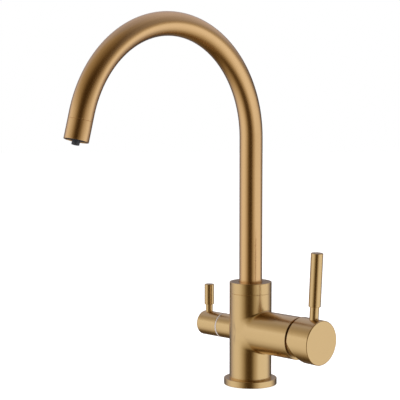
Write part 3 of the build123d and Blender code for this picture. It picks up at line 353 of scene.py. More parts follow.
def woven(name, grids, grains):
    """A closed mesh from grids of points, each joined to itself along its rows.

    Cell (i, j) is the face of points (i, j), (i, j+1), (i+1, j+1), (i+1, j), with j+1 taken round
    to the start. Points that meet at a pole or a shared border are welded, and the faces turned
    outwards. The attribute grain says where a point is along and across the brush lines.
    """
    faces, base = [], 0
    for grid in grids:
        rows, columns = grid.shape[:2]
        index = base + np.arange(rows * columns).reshape(rows, columns)
        low, high = index[:-1], index[1:]
        faces.append(np.stack([low, np.roll(low, -1, axis=1), np.roll(high, -1, axis=1), high], -1))
        base += rows * columns
    points = np.concatenate([grid.reshape(-1, 3) for grid in grids])
    faces = np.concatenate([cells.reshape(-1, 4) for cells in faces])
    mesh = bpy.data.meshes.new(name)
    mesh.from_pydata(points.tolist(), [], faces.tolist())
    grain = np.concatenate([grid.reshape(-1, 3) for grid in grains])
    mesh.attributes.new("grain", "FLOAT_VECTOR", "POINT").data.foreach_set("vector", grain.ravel())
    shell = bmesh.new()
    shell.from_mesh(mesh)
    bmesh.ops.remove_doubles(shell, verts=shell.verts, dist=WELD)
    bmesh.ops.recalc_face_normals(shell, faces=shell.faces)
    shell.to_mesh(mesh)
    shell.free()
    mesh.shade_smooth()
    mesh.set_sharp_from_angle(angle=SHARP_ANGLE)
    piece = bpy.data.objects.new(name, mesh)
    bpy.context.scene.collection.objects.link(piece)
    return piece


def turned(name, carry, outline, steps=160, cut=None):
    """A surface of two parameters, the place along an outline and the angle t about its axis.

    P(i, t) = carry(r_i, h_i, t). An outline that starts and ends on the axis closes at two poles,
    and any other is joined end to end. cut may move h by radius and angle. The attribute grain
    holds (r cos t, r sin t, length of outline so far), for patterns that run round the axis.
    """
    steps -= steps % 4
    r, h = outline.T
    capped = r[0] == 0 and r[-1] == 0
    t = np.linspace(0, 2 * pi, steps, endpoint=False)
    r, h, t = np.broadcast_arrays(r[:, None], h[:, None], t[None])
    run = np.concatenate([[0], np.cumsum(np.linalg.norm(np.diff(outline, axis=0), axis=1))])
    grain = np.stack([r * np.cos(t), r * np.sin(t), np.broadcast_to(run[:, None], r.shape)], -1)
    points = carry(r, h if cut is None else cut(r, h, t), t)
    if not capped:
        points, grain = (np.concatenate([grid, grid[:1]]) for grid in (points, grain))
    return woven(name, [points], [grain])


def softened_union(points, barrel, arm, tight, broad):
    """How far points stand outside the barrel and an arm that run together, and the arm's share.

    With a and b the distances to the barrel and to the arm, t the angle round the arm from its
    top, and d the angle between the two surfaces where they meet, cos d = arm·sin²t / barrel, it
    is min(a, b) - max(k - |a - b|, 0)² / 4k. The crease reaches k = w·sin d to each side, with w
    going from tight at the arm's top to broad at its front by sin⁴t.
    """
    x, y, z = np.moveaxis(points, -1, 0)
    out = np.hypot(y, z)
    a = np.hypot(x, y) - barrel
    b = np.where(x > 0, out - arm, np.hypot(x, np.maximum(out - arm, 0)))
    sine = (y / out) ** 2
    reach = (tight + (broad - tight) * sine**2) * np.sqrt(1 - (sine * arm / barrel) ** 2)
    distance = np.minimum(a, b) - np.maximum(reach - np.abs(a - b), 0) ** 2 / (4 * reach)
    return distance, np.clip(0.5 + (a - b) / GRAIN_BLEND, 0, 1)


def arm_root(sizes, arm, end, border, corners, tight, broad):
    """An arm along +X and the barrel round its root, as a grid about the arm's axis.

    A column at the angle t runs along the arm, (x, -arm·sin t, arm·cos t), to the crease at
    x² = barrel² - arm²·sin²t, and then straight over the unrolled barrel to a rectangle whose
    half angle is border and whose corners are met at t = corners. The rows crowd at the crease.
    Steps p -= F·grad F / |grad F|² lay every point on the softened union F = 0.
    """
    barrel = sizes.barrel_radius
    top = sizes.collar_foot - sizes.seam - sizes.arm_height
    foot = sizes.base_height - sizes.arm_height
    first, second = corners
    places = [0, first, second, pi, 2 * pi - second, 2 * pi - first, 2 * pi]
    ends, sides = 34, 60  # columns to each half of the rectangle's top or foot, and to each side
    close_rows, wide_rows = 17, 12
    stops = np.cumsum([0, ends, sides, ends, ends, sides, ends])
    t = np.interp(np.arange(stops[-1]), stops, places)
    heading = np.interp(t, places, [0, border, border, 0, -border, -border, 0])
    height = np.interp(t, places, [top, top, foot, foot, foot, top, top])
    crease_x = np.sqrt(barrel**2 - (arm * np.sin(t)) ** 2)
    crease_heading, crease_z = np.arcsin(arm * np.sin(t) / barrel), arm * np.cos(t)
    near = 1.2 * (tight + (broad - tight) * np.sin(t) ** 4)  # a little past the crease's reach

    def spread(whole):
        """Distances from the crease, close together up to near and wider apart from there on."""
        close = np.linspace(0, 1, close_rows)[:, None] * near
        wide = np.linspace(0, 1, wide_rows)[1:, None]
        return np.concatenate([close, near + (whole - near) * wide])

    along = crease_x + spread(end - crease_x)[::-1]
    on_arm = np.stack([along, along * 0 - arm * np.sin(t), along * 0 + arm * np.cos(t)], -1)
    run = np.hypot(barrel * (heading - crease_heading), height - crease_z)
    covered = spread(run)[1:] / run
    turn = crease_heading + covered * (heading - crease_heading)
    rise = crease_z + covered * (height - crease_z)
    on_barrel = np.stack([barrel * np.cos(turn), -barrel * np.sin(turn), rise], -1)
    points = np.concatenate([on_arm, on_barrel])
    shape = (barrel, arm, tight, broad)

    def slope(step):
        """How fast the distance to the softened union grows along a small step, per metre."""
        beyond, before = (softened_union(points + d, *shape)[0] for d in (step, -step))
        return (beyond - before) / (2 * NUDGE)

    for _ in range(LAYING_STEPS):
        slopes = np.stack([slope(step) for step in np.eye(3) * NUDGE], -1)
        gap = softened_union(points, *shape)[0] / (slopes**2).sum(-1)
        points[1:-1] -= (gap[..., None] * slopes)[1:-1]
    on_arm_share = softened_union(points, *shape)[1][..., None]
    x, y, z = np.moveaxis(points, -1, 0)
    grain = on_arm_share * np.stack([y, z, x], -1) + (1 - on_arm_share) * points
    return t, points, grain


def rings(angles, outline, axis):
    """Rings of an outline of (radius, distance) at the given angles about the axis X or Z."""
    r, h = np.array(outline).T[..., None]
    flat, across, along = r * np.cos(angles), r * np.sin(angles), h + 0 * angles
    return np.stack([along, -across, flat] if axis == "X" else [flat, across, along], -1)


def pin_outline(stud, foot, neck, carrier, grip, edges):
    """Outline of a pin lever that stands on a carrier of that radius, from its foot to its top.

    stud and neck are radii, grip is (radius, start, top), and edges are the roundings of the
    grip's start and top. The neck starts where its side meets the round carrier, at
    sqrt(carrier² - neck²).
    """
    seat = (carrier**2 - neck**2) ** 0.5
    radius, start, top = grip
    return softened(
        [
            (0, foot),
            (stud, foot),
            (stud, seat),
            (neck, seat),
            (neck, start, BROKEN_EDGE),
            (radius, start, edges[0]),
            (radius, top, edges[1]),
            (0, top),
        ],
        closed=False,
    )


def fitted(piece, body, node, finish):
    """Gives a piece its finish and its body, in place of the CAD node that it stands for."""
    piece.data.materials.append(finish)
    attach(piece, body)
    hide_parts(node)


# ---------------------------------------------------------------- finishes


def linear(hex_colour):
    """Linear RGBA of an sRGB hex colour."""
    c = np.array([int(hex_colour[i : i + 2], 16) for i in (1, 3, 5)]) / 255
    return (*np.where(c <= 0.04045, c / 12.92, ((c + 0.055) / 1.055) ** 2.4).tolist(), 1.0)


def add(tree, kind, inputs=(), **settings):
    """Adds a node, sets its settings, and sets or links its inputs, named or numbered."""
    node = tree.nodes.new(kind)
    for key, value in settings.items():
        setattr(node, key, value)
    for key, value in dict(inputs).items():
        if isinstance(value, bpy.types.NodeSocket):
            tree.links.new(value, node.inputs[key])
        else:
            node.inputs[key].default_value = value
    return node


def new_finish(name):
    """An empty material and its node tree."""
    material = bpy.data.materials.new(name)
    material.use_nodes = True
    material.node_tree.nodes.clear()
    return material, material.node_tree


def patterned(tree, pattern, colours, roughness, spread, relief, others):
    """Ends a finish with a shader whose colour, roughness and height follow one pattern, 0 to 1.

    The two colours are linear RGBA. The roughness moves by spread each way over the middle of the
    pattern, and with no spread it is the same all over. relief is (strength, height in metres).
    """
    colour = add(
        tree, "ShaderNodeMix", {"Factor": pattern, 6: colours[0], 7: colours[1]}, data_type="RGBA"
    )
    if spread:
        span = {"Value": pattern, 1: 0.3, 2: 0.7, 3: roughness - spread, 4: roughness + spread}
        roughness = add(tree, "ShaderNodeMapRange", span).outputs[0]
    strength, height = relief
    bump = add(
        tree, "ShaderNodeBump", {"Height": pattern, "Strength": strength, "Distance": height}
    )
    inputs = {
        "Base Color": colour.outputs[2],
        "Roughness": roughness,
        "Normal": bump.outputs[0],
        **others,
    }
    shader = add(tree, "ShaderNodeBsdfPrincipled", inputs)
    add(tree, "ShaderNodeOutputMaterial", {"Surface": shader.outputs[0]})


def brushed_gold(name, coat):
    """Brass under a gold-toned vapour-deposited coat, brushed in rings: warm satin metal.

    Brush lines lie across the third coordinate of the attribute grain, and on the cover, which
    has no such attribute, across X. They show in colour, roughness and height. Real satin
    scratches are under 0.1 mm apart, too fine to show, so they are drawn at 0.5 mm, with a
    fainter set at 2.5 mm for the belt's uneven pressure. Both change over some 50 mm along the
    lines. The coat is up to 3 % darker on one side of the pattern than on the other.
    """
    material, tree = new_finish(name)
    if name == "brushed_gold_cover":
        place = add(tree, "ShaderNodeTexCoord").outputs["Object"]
        x, y, z = add(tree, "ShaderNodeSeparateXYZ", {0: place}).outputs
        vector = add(tree, "ShaderNodeCombineXYZ", {0: y, 1: z, 2: x}).outputs[0]
    else:
        vector = add(tree, "ShaderNodeAttribute", attribute_name="grain").outputs["Vector"]
    layers = []
    for along, spacing, detail in ((25, 0.0005, 2.0), (18, 0.0025, 1.0)):
        scale = (along, along, 1 / spacing)
        drawn = add(tree, "ShaderNodeMapping", {"Vector": vector, "Scale": scale}).outputs[0]
        noise = {"Vector": drawn, "Scale": 1.0, "Detail": detail}
        layers.append(add(tree, "ShaderNodeTexNoise", noise).outputs[0])
    lines, bands = layers
    both = add(tree, "ShaderNodeMix", {"Factor": 0.3, 2: lines, 3: bands}, data_type="FLOAT")
    gold = linear(coat)
    darker = [0.97 * c for c in gold[:3]] + [1.0]
    satin = bpy.context.scene.tap_finishes.gold_roughness
    relief, metal = (0.02, 0.00001), {"Metallic": 1.0}
    patterned(tree, both.outputs[0], (gold, darker), satin, 0.01, relief, metal)
    return material


def turned_metal(name, colours, roughness, spacing):
    """Bare turned metal: fine rings from the lathe's feed, whose spacing is given in metres.

    The wave repeats after 2·pi / 20 of its scaled coordinates.
    """
    material, tree = new_finish(name)
    place = add(tree, "ShaderNodeTexCoord").outputs["Object"]
    waves = add(
        tree,
        "ShaderNodeTexWave",
        {"Vector": place, "Scale": 2 * pi / 20 / spacing, "Distortion": 0.6, "Detail": 1.0},
        wave_type="RINGS",
        rings_direction="Z",
    )
    pair = [linear(colour) for colour in colours]
    relief, metal = (0.2, 0.00002), {"Metallic": 1.0}
    patterned(tree, waves.outputs[1], pair, roughness, 0, relief, metal)
    return material


def moulded(name, colours, roughness, ior, texture):
    """Moulded plastic, rubber or pressed ceramic: a faint mottling at the mould's texture size."""
    material, tree = new_finish(name)
    place = add(tree, "ShaderNodeTexCoord").outputs["Object"]
    mottle = add(
        tree, "ShaderNodeTexNoise", {"Vector": place, "Scale": 1 / texture, "Detail": 3.0}
    )
    pair, relief = [linear(colour) for colour in colours], (0.15, 0.00003)
    patterned(tree, mottle.outputs[0], pair, roughness, 0.05, relief, {"IOR": ior})
    return material


def finish_for(slot):
    """The finish of a material slot of the record, or of the drawn spout, made once."""
    colours = bpy.context.scene.tap_finishes
    rings_apart = pi / 1000
    # function, name, colour or two colours; then roughness and distance between rings, or
    # roughness, index of refraction and size of the mottling
    finishes = {
        # brass casting and drawn tube, brushed and then coated
        "brushed_gold": (brushed_gold, "brushed_gold_coating", colours.gold),
        "spout_gold": (brushed_gold, "brushed_gold_spout", colours.spout_gold),
        "cover_brass": (brushed_gold, "brushed_gold_cover", colours.gold),
        # free-cutting brass, turned: yellow and fairly bright. Its 0.2 mm feed is too fine to
        # show, so it is drawn at 3.1 mm
        "inner_brass": (
            turned_metal,
            "turned_brass",
            (colours.brass, "#C9A253"),
            0.28,
            rings_apart,
        ),
        # stainless steel, turned and tumbled: grey and even, with its feed drawn as wide
        "steel": (turned_metal, "tumbled_stainless", ("#B9BABB", "#A9AAAC"), 0.32, rings_apart),
        # nitrile rubber, moulded: near black and dull
        "seal_rubber": (moulded, "moulded_nitrile", ("#151515", "#1D1D1C"), 0.62, 1.52, 0.0006),
        # alumina, pressed, fired and lapped: ivory and glossy
        "ceramic": (moulded, "lapped_alumina", ("#F1EBDD", "#E8E0CE"), 0.14, 1.76, 0.0008),
        # glass-filled nylon, moulded: off-white and slightly uneven
        "cartridge_plastic": (
            moulded,
            "glass_filled_nylon",
            ("#E4E2DC", "#D8D5CD"),
            0.45,
            1.53,
            0.0005,
        ),
        # acetal, machined: white and waxy
        "bush_plastic": (moulded, "machined_acetal", ("#EDEDEA", "#E2E2DD"), 0.38, 1.48, 0.0009),
        # polyethylene, drawn: milky white
        "water_tube": (moulded, "drawn_polyethylene", ("#E9EBEC", "#DEE2E4"), 0.36, 1.51, 0.0015),
        # acetal, moulded in a pale warm grey
        "pale_ring": (moulded, "pale_acetal", (colours.pale_ring, "#CCC3BF"), 0.4, 1.48, 0.0008),
        # ABS, moulded in black with a fine satin
        "dark_insert": (moulded, "black_abs", (colours.insert, "#1F1F22"), 0.42, 1.54, 0.0005),
        # acetal, moulded in dark grey
        "grey_nozzle": (moulded, "grey_acetal", (colours.nozzle, "#33363B"), 0.36, 1.48, 0.0005),
    }
    make, name, *values = finishes[slot]
    return bpy.data.materials.get(name) or make(name, *values)


# ---------------------------------------------------------------- pieces


class TapFoot(bpy.types.Operator):
    """Base ring and collar, turned about the barrel's axis."""

    bl_idname = "tap.foot"
    bl_label = "Foot and collar"

    def execute(self, context):
        s = context.scene.tap_body
        upright = straight_axis((0, 0, 0), (0, 0, 1), (1, 0, 0))
        ring = softened(
            [
                (s.groove_inner, s.groove_depth),
                (s.groove_inner, 0, BROKEN_EDGE),
                (s.shank_radius, 0),
                (s.shank_radius, s.base_height),
                (s.base_radius, s.base_height, s.base_edge),
                (s.base_radius, 0, s.base_edge),
                (s.groove_outer, 0, BROKEN_EDGE),
                (s.groove_outer, s.groove_depth),
            ]
        )
        gold = finish_for("brushed_gold")
        fitted(turned("foot_ring", upright, ring), "root", "base_ring", gold)
        skirt_foot = s.collar_foot - COLLAR_SKIRT_DEPTH
        lip_foot = s.collar_top - COLLAR_LIP_HEIGHT
        collar = softened(
            [
                (COLLAR_SLEEVE, skirt_foot),
                (COLLAR_SKIRT, skirt_foot),
                (COLLAR_SKIRT, s.collar_foot),
                (s.barrel_radius, s.collar_foot, s.seam),
                (s.barrel_radius, s.collar_top, s.collar_edge),
                (s.collar_lip, s.collar_top, THIN_EDGE),
                (s.collar_lip, lip_foot),
                (COLLAR_SLEEVE, lip_foot),
            ]
        )
        fitted(turned("barrel_collar", upright, collar), "root", "spout_collar", gold)
        return {"FINISHED"}


class TapBody(bpy.types.Operator):
    """Body casting: barrel, thick mixer arm and thin filter arm, run together in soft creases."""

    bl_idname = "tap.body"
    bl_label = "Body casting"

    def execute(self, context):
        s, handles = context.scene.tap_body, context.scene.tap_handles
        grids, grains, border = [], [], []
        # side, radius and end; half angle of the rectangle round the root, in degrees, and where
        # round the arm its corners are met; reach of the crease at the top and at the front
        arms = (
            (1, s.arm_radius, s.arm_end, 125, (48, 134), s.crease, s.front_crease),
            (-1, s.stub_radius, handles.stub_end, 55, (31, 155), s.crease, s.crease),
        )
        pockets = (
            [
                (0, CARTRIDGE_SEAT),
                (CARTRIDGE_BORE, CARTRIDGE_SEAT),
                (CARTRIDGE_BORE, MOUTH_SHOULDER),
                (MOUTH_BORE, MOUTH_SHOULDER),
                (MOUTH_BORE, s.arm_end),
            ],
            [(0, VALVE_SEAT), (VALVE_BORE, VALVE_SEAT), (VALVE_BORE, handles.stub_end)],
        )
        for (side, arm, end, half, corners, *creases), pocket in zip(arms, pockets):
            t, points, grain = arm_root(
                s, arm, end - s.seam, radians(half), np.radians(corners), *creases
            )
            mouth = rings(t, [*pocket, (arm - s.seam, end)], "X")
            points, grain = (np.concatenate([mouth, grid]) for grid in (points, grain))
            points = points * (side, 1, 1) + (0, 0, s.arm_height)
            grids.append(points)
            grains.append(grain)
            border.append(points[-1])
        border = np.concatenate(border)
        socket = [
            (s.barrel_radius, s.collar_foot - s.seam),
            (s.barrel_radius - s.seam, s.collar_foot),
            (COLLAR_SOCKET, s.collar_foot),
            (COLLAR_SOCKET, COLLAR_SEAT),
            (SPIGOT_BORE, COLLAR_SEAT),
            (SPIGOT_BORE, CHAMBER_TOP),
            (CHAMBER_BORE, CHAMBER_TOP),
            (CHAMBER_BORE, CHAMBER_FLOOR),
            (0, CHAMBER_FLOOR),
        ]
        shank = [
            (s.barrel_radius, s.base_height),
            (SHANK, s.base_height),
            (SHANK, 0),
            (INLET_BORE, 0),
            (INLET_BORE, INLET_ROOF),
            (0, INLET_ROOF),
        ]
        # each starts on the border of the two grids, at the angles of the points there
        for outline in (socket, shank):
            edge = border[np.abs(border[:, 2] - outline[0][1]) < TOUCHING]
            angles = np.unique(np.arctan2(edge[:, 1], edge[:, 0]).round(6))
            grids.append(rings(angles, outline, "Z"))
            grains.append(grids[-1])
        piece = woven("tap_body", grids, grains)
        fitted(piece, "root", "body_casting", finish_for("brushed_gold"))
        return {"FINISHED"}


class TapSpout(bpy.types.Operator):
    """Swan neck tube, tip sleeve and nozzle."""

    bl_idname = "tap.spout"
    bl_label = "Spout"

    def execute(self, context):
        s, seam = context.scene.tap_spout, context.scene.tap_body.seam
        gold = finish_for("spout_gold")
        neck = swan_neck(s)
        whole = s.riser_top - s.foot + s.bend_radius * s.bend_angle + s.straight
        mouth = whole - s.tip_length
        tube = softened(
            [
                (s.bore_radius, 0),
                (s.tube_radius, 0),
                (s.tube_radius, mouth, seam),
                (s.bore_radius, mouth),
            ]
        )
        piece = turned("swan_neck_tube", neck, divided(tube, TUBE_STEP), 96)
        fitted(piece, "spout", "spout_tube", gold)
        # the tip's axis runs back from the end of the middle line
        zero, short = np.zeros(1), 0.001
        end, back = (neck(zero, zero + place, zero)[0] for place in (whole, whole - short))
        tip_axis = straight_axis(end, (back - end) / short, (1, 0, 0))
        sleeve_neck = s.bore_radius - TIP_NECK_GAP
        sleeve_bore = s.bore_radius - TIP_NECK_WALL
        neck_end = s.tip_length + TIP_NECK_LENGTH
        tip = softened(
            [
                (s.tip_socket_radius, INSERT_SEAT),
                (s.tip_socket_radius, 0, THIN_EDGE),
                (s.tube_radius, 0, THIN_EDGE),
                (s.tube_radius, s.tip_length, seam),
                (sleeve_neck, s.tip_length),
                (sleeve_neck, neck_end),
                (sleeve_bore, neck_end),
                (sleeve_bore, INSERT_SEAT),
            ]
        )
        fitted(turned("tip_sleeve", tip_axis, tip, 120), "spout", "spout_tip", gold)
        nozzle = softened(
            [
                (NOZZLE_BORE, NOZZLE_STEP),
                (NOZZLE_BORE, -s.nozzle_reach, BROKEN_EDGE),
                (s.nozzle_radius, -s.nozzle_reach, NOZZLE_EDGE),
                (s.nozzle_radius, NOZZLE_BACK),
                (NOZZLE_FEED_BORE, NOZZLE_BACK),
                (NOZZLE_FEED_BORE, NOZZLE_STEP),
            ]
        )
        piece = turned("filtered_water_nozzle", tip_axis, nozzle, 72)
        fitted(piece, "spout", "filter_nozzle", finish_for("grey_nozzle"))
        return {"FINISHED"}


class TapMixerHandle(bpy.types.Operator):
    """Mixer cap with its slanting cut underneath, and the long pin lever."""

    bl_idname = "tap.mixer_handle"
    bl_label = "Mixer handle"

    def execute(self, context):
        s = context.scene.tap_handles
        height = context.scene.tap_body.arm_height
        gold = finish_for("brushed_gold")
        out = np.array([cos(s.lean), 0, -sin(s.lean)])
        up = np.array([sin(s.lean), 0, cos(s.lean)])
        pivot = np.array([s.pivot, 0, height])
        inner = s.cap_radius - s.cap_wall
        floor = s.cap_end - s.cap_end_wall
        cap = softened(
            [
                (0, s.cap_end),
                (s.cap_radius, s.cap_end, s.cap_edge),
                (s.cap_radius, s.cap_rim, RIM_EDGE),
                (inner, s.cap_rim, RIM_EDGE),
                (inner, floor, CUP_EDGE),
                (s.hub_radius, floor, CUP_EDGE),
                (s.hub_radius, s.hub_start, HUB_EDGE),
                (0, s.hub_start),
            ],
            closed=False,
        )
        fixed = floor - 0.001  # the cup's rounded bottom stays as it is
        skirt = 0.7 * inner  # between the hub and the skirt

        def relief(r, h, t):
            """Below the axis the skirt starts at rim + depth·tan(slope). Its far end is fixed."""
            start = s.cap_rim + np.maximum(0, -r * np.cos(t)) * np.tan(s.relief)
            moved = fixed - (fixed - h) * (fixed - start) / (fixed - s.cap_rim)
            return np.where((r > skirt) & (h < fixed), moved, h)

        piece = turned("mixer_cap_shell", straight_axis(pivot, out, up), cap, 176, relief)
        fitted(piece, "mixer_handle", "mixer_cap", gold)
        grip = (s.lever_radius, s.lever_top - s.grip, s.lever_top)
        lever = pin_outline(
            STUD, STUD_FOOT, s.neck_radius, s.cap_radius, grip, (0.0005, 0.00055)
        )
        lean = s.lean + s.lever_lean
        upward, outward = (sin(lean), 0, cos(lean)), (cos(lean), 0, -sin(lean))
        lever_axis = straight_axis(pivot + out * s.lever_place, upward, outward)
        piece = turned("mixer_pin_lever", lever_axis, lever, 96)
        fitted(piece, "mixer_handle", "mixer_lever", gold)
        return {"FINISHED"}


class TapFilterHandle(bpy.types.Operator):
    """Pale ring, filter knob and the short pin lever."""

    bl_idname = "tap.filter_handle"
    bl_label = "Filter handle"

    def execute(self, context):
        s = context.scene.tap_handles
        height = context.scene.tap_body.arm_height
        gold = finish_for("brushed_gold")
        arm = straight_axis((0, 0, height), (-1, 0, 0), (0, 0, 1))
        ring_end = s.stub_end + s.glide_width
        glide = softened(
            [
                (GLIDE_BORE, s.stub_end),
                (s.glide_radius, s.stub_end, THIN_EDGE),
                (s.glide_radius, ring_end, THIN_EDGE),
                (GLIDE_BORE, ring_end),
            ]
        )
        piece = turned("pale_glide_ring", arm, glide, 120)
        fitted(piece, "root", "filter_glide_ring", finish_for("pale_ring"))
        knob_start = ring_end + KNOB_GAP
        cup_floor, bore_end = knob_start + KNOB_CUP_DEPTH, s.knob_end - KNOB_END_WALL
        knob = softened(
            [
                (0, s.knob_end),
                (s.knob_radius, s.knob_end, s.knob_edge),
                (s.knob_radius, knob_start, RIM_EDGE),
                (KNOB_CUP, knob_start, BROKEN_EDGE),
                (KNOB_CUP, cup_floor),
                (SPINDLE_BORE, cup_floor),
                (SPINDLE_BORE, bore_end),
                (0, bore_end),
            ],
            closed=False,
        )
        fitted(turned("filter_knob_shell", arm, knob, 128), "filter_handle", "filter_knob", gold)
        grip = (s.small_lever_radius, s.small_lever_top - s.small_grip, s.small_lever_top)
        lever = pin_outline(
            SMALL_STUD, SMALL_STUD_FOOT, s.small_neck, s.knob_radius, grip, (0.0004, 0.0005)
        )
        foot = (s.small_lever_inset - s.knob_end, 0, height)
        lever_axis = straight_axis(foot, (0, 0, 1), (1, 0, 0))
        piece = turned("filter_pin_lever", lever_axis, lever, 96)
        fitted(piece, "filter_handle", "filter_lever", gold)
        return {"FINISHED"}


class TapInnerParts(bpy.types.Operator):
    """Finishes for the CAD pieces, of which the cover, insert, seals, valves and inlets stay."""

    bl_idname = "tap.inner_parts"
    bl_label = "Inner parts"

    def execute(self, context):
        for entry in frame["record"]["subparts"]:
            piece = frame["nodes"][entry["node"]]
            piece.data.materials.clear()
            piece.data.materials.append(finish_for(entry["material_slot"]))
        return {"FINISHED"}


# ---------------------------------------------------------------- studio


def studio_light(studio):
    """A dim studio with a large soft box on each side of the camera and a pale wall behind the tap.

    All of it is fixed in the world, a sum of glows over the heading, which is 0 at the camera and
    positive to its right, and the height, both in degrees. What the camera sees directly is the
    white backdrop.
    """
    world = bpy.data.worlds.new("studio")
    bpy.context.scene.world = world
    world.use_nodes = True
    tree = world.node_tree
    tree.nodes.clear()
    direction = add(tree, "ShaderNodeTexCoord").outputs["Generated"]
    toward = (sin(studio.heading), -cos(studio.heading), 0)
    right = (cos(studio.heading), sin(studio.heading), 0)
    aside, ahead = (
        add(tree, "ShaderNodeVectorMath", {0: direction, 1: way}, operation="DOT_PRODUCT")
        for way in (right, toward)
    )
    heading = add(
        tree,
        "ShaderNodeMath",
        {0: aside.outputs["Value"], 1: ahead.outputs["Value"]},
        operation="ARCTAN2",
    )
    rise = add(tree, "ShaderNodeSeparateXYZ", {0: direction}).outputs[2]
    height = add(tree, "ShaderNodeMath", {0: rise}, operation="ARCSINE")

    def glow(sides, heights):
        """A soft patch of light: a smooth curve over the heading times one over the height.

        Each curve goes through stops of (degrees, brightness).
        """
        curves = []
        for bearing, half, stops in ((heading, 180, sides), (height, 90, heights)):
            span = {"Value": bearing.outputs[0], 1: -radians(half), 2: radians(half)}
            share = add(tree, "ShaderNodeMapRange", span)
            ramp = add(tree, "ShaderNodeValToRGB", {0: share.outputs[0]})
            ramp.color_ramp.interpolation = "EASE"
            for _ in stops[2:]:
                ramp.color_ramp.elements.new(0.5)
            for element, (degrees, bright) in zip(ramp.color_ramp.elements, stops):
                element.position = (degrees + half) / (2 * half)
                element.color = (bright, bright, bright, 1)
            curves.append(ramp.outputs[0])
        product = add(tree, "ShaderNodeMath", dict(enumerate(curves)), operation="MULTIPLY")
        return product.outputs[0]

    low_edge = [(-90, 0.04), (-75, 0.09), (-62, 0.26), (-48, 0.53), (-35, 0.8), (-20, 0.97)]
    left_box = glow(
        [(-180, 0.1), (-150, 0.02), (-135, 0.06), (-118, 0.35), (-104, 0.66), (-92, 0.85)]
        + [(-72, 0.85), (-57, 0.7), (-40, 0.38), (-24, 0.055), (-5, 0.005), (180, 0)],
        [*low_edge, (2, 1), (13, 1), (24, 0.4), (38, 0.12), (52, 0), (90, 0)],
    )
    left_end = glow(
        [(-180, 0.08), (-150, 0.1), (-132, 0.3), (-115, 0.28), (-100, 0.08), (-88, 0), (180, 0)],
        [(-90, 0), (-46, 0), (-30, 1), (14, 1), (26, 0), (90, 0)],
    )
    right_box = glow(
        [(-180, 0), (-24, 0), (5, 0.025), (24, 0.47), (46, 0.93), (100, 0.93)]
        + [(122, 0.43), (142, 0.06), (180, 0.16)],
        [*low_edge, (-4, 1), (9, 0.35), (20, 0.04), (90, 0)],
    )
    wall = glow(
        [(-180, 0.61), (-150, 0.52), (-128, 0.53), (-105, 0.31), (-80, 0.22), (-55, 0.16)]
        + [(-32, 0.09), (-10, 0.02), (30, 0), (60, 0.03), (80, 0.22), (102, 0.44)]
        + [(125, 0.62), (150, 0.67), (180, 0.61)],
        [(-90, 0), (4, 0), (26, 1), (50, 0.95), (68, 0.55), (90, 0)],
    )
    above_and_below = glow(
        [(-180, 1), (180, 1)],
        [(-90, 0.05), (-60, 0.05), (-40, 0.03), (-25, 0.01), (38, 0.01), (65, 0.15), (90, 0.32)],
    )
    bright = left_box
    for patch in (left_end, right_box, wall, above_and_below):
        bright = add(tree, "ShaderNodeMath", {0: bright, 1: patch}, operation="ADD").outputs[0]
    # the dimmer a part of the studio is, the browner it is
    red = add(tree, "ShaderNodeMath", {0: bright, 1: 0.84}, operation="POWER").outputs[0]
    blue = add(tree, "ShaderNodeMath", {0: bright, 1: 1.34}, operation="POWER").outputs[0]
    warm = add(tree, "ShaderNodeCombineXYZ", {0: red, 1: bright, 2: blue})
    # but the wall behind the tap, and further up on its right, is cool
    behind = glow(
        [(-180, 1), (-150, 1), (-130, 0.9), (-115, 0.45), (-92, 0)]
        + [(92, 0), (115, 0.45), (130, 0.9), (150, 1), (180, 1)],
        [(-90, 0), (-50, 0), (-20, 1), (90, 1)],
    )
    on_the_right = glow(
        [(-180, 0), (48, 0), (72, 0.45), (92, 0.65), (115, 0.5), (135, 0), (180, 0)],
        [(-90, 0), (4, 0), (26, 1), (90, 1)],
    )
    cool = add(tree, "ShaderNodeMath", {0: behind, 1: on_the_right}, operation="ADD").outputs[0]
    wall_light = {0: linear(studio.wall)[:3], "Scale": bright}
    pale = add(tree, "ShaderNodeVectorMath", wall_light, operation="SCALE")
    total = add(
        tree,
        "ShaderNodeMix",
        {"Factor": cool, 6: warm.outputs[0], 7: pale.outputs[0]},
        data_type="RGBA",
    )
    lit = add(tree, "ShaderNodeBackground", {0: total.outputs[2], 1: 1.0})
    backdrop = add(tree, "ShaderNodeBackground", {0: (1, 1, 1, 1), 1: 1.0})
    seen = add(tree, "ShaderNodeLightPath").outputs["Is Camera Ray"]
    shown = add(tree, "ShaderNodeMixShader", {0: seen, 1: lit.outputs[0], 2: backdrop.outputs[0]})
    add(tree, "ShaderNodeOutputWorld", {"Surface": shown.outputs[0]})


def pale_floor(radius):
    """A round matt floor just under the foot, seen from above only and not in the tap's gloss."""
    material, tree = new_finish("pale_floor")
    paper = {
        "Base Color": linear("#F4F4F4"),
        "Roughness": 0.9,
        "Emission Color": (1, 1, 1, 1),
        "Emission Strength": 0.8,
    }
    shader = add(tree, "ShaderNodeBsdfPrincipled", paper)
    clear = add(tree, "ShaderNodeBsdfTransparent")
    under = add(tree, "ShaderNodeNewGeometry").outputs["Backfacing"]
    sided = add(tree, "ShaderNodeMixShader", {0: under, 1: shader.outputs[0], 2: clear.outputs[0]})
    add(tree, "ShaderNodeOutputMaterial", {"Surface": sided.outputs[0]})
    mesh = bpy.data.meshes.new("pale_floor")
    t = np.linspace(0, 2 * pi, 96, endpoint=False)
    below = straight_axis((0, 0, -0.0002), (0, 0, 1), (1, 0, 0))
    rim = below(np.full_like(t, radius), np.zeros_like(t), t)
    mesh.from_pydata(rim.tolist(), [], [list(range(len(t)))])
    mesh.materials.append(material)
    floor = bpy.data.objects.new("pale_floor", mesh)
    bpy.context.scene.collection.objects.link(floor)
    floor.visible_glossy = False
    return floor


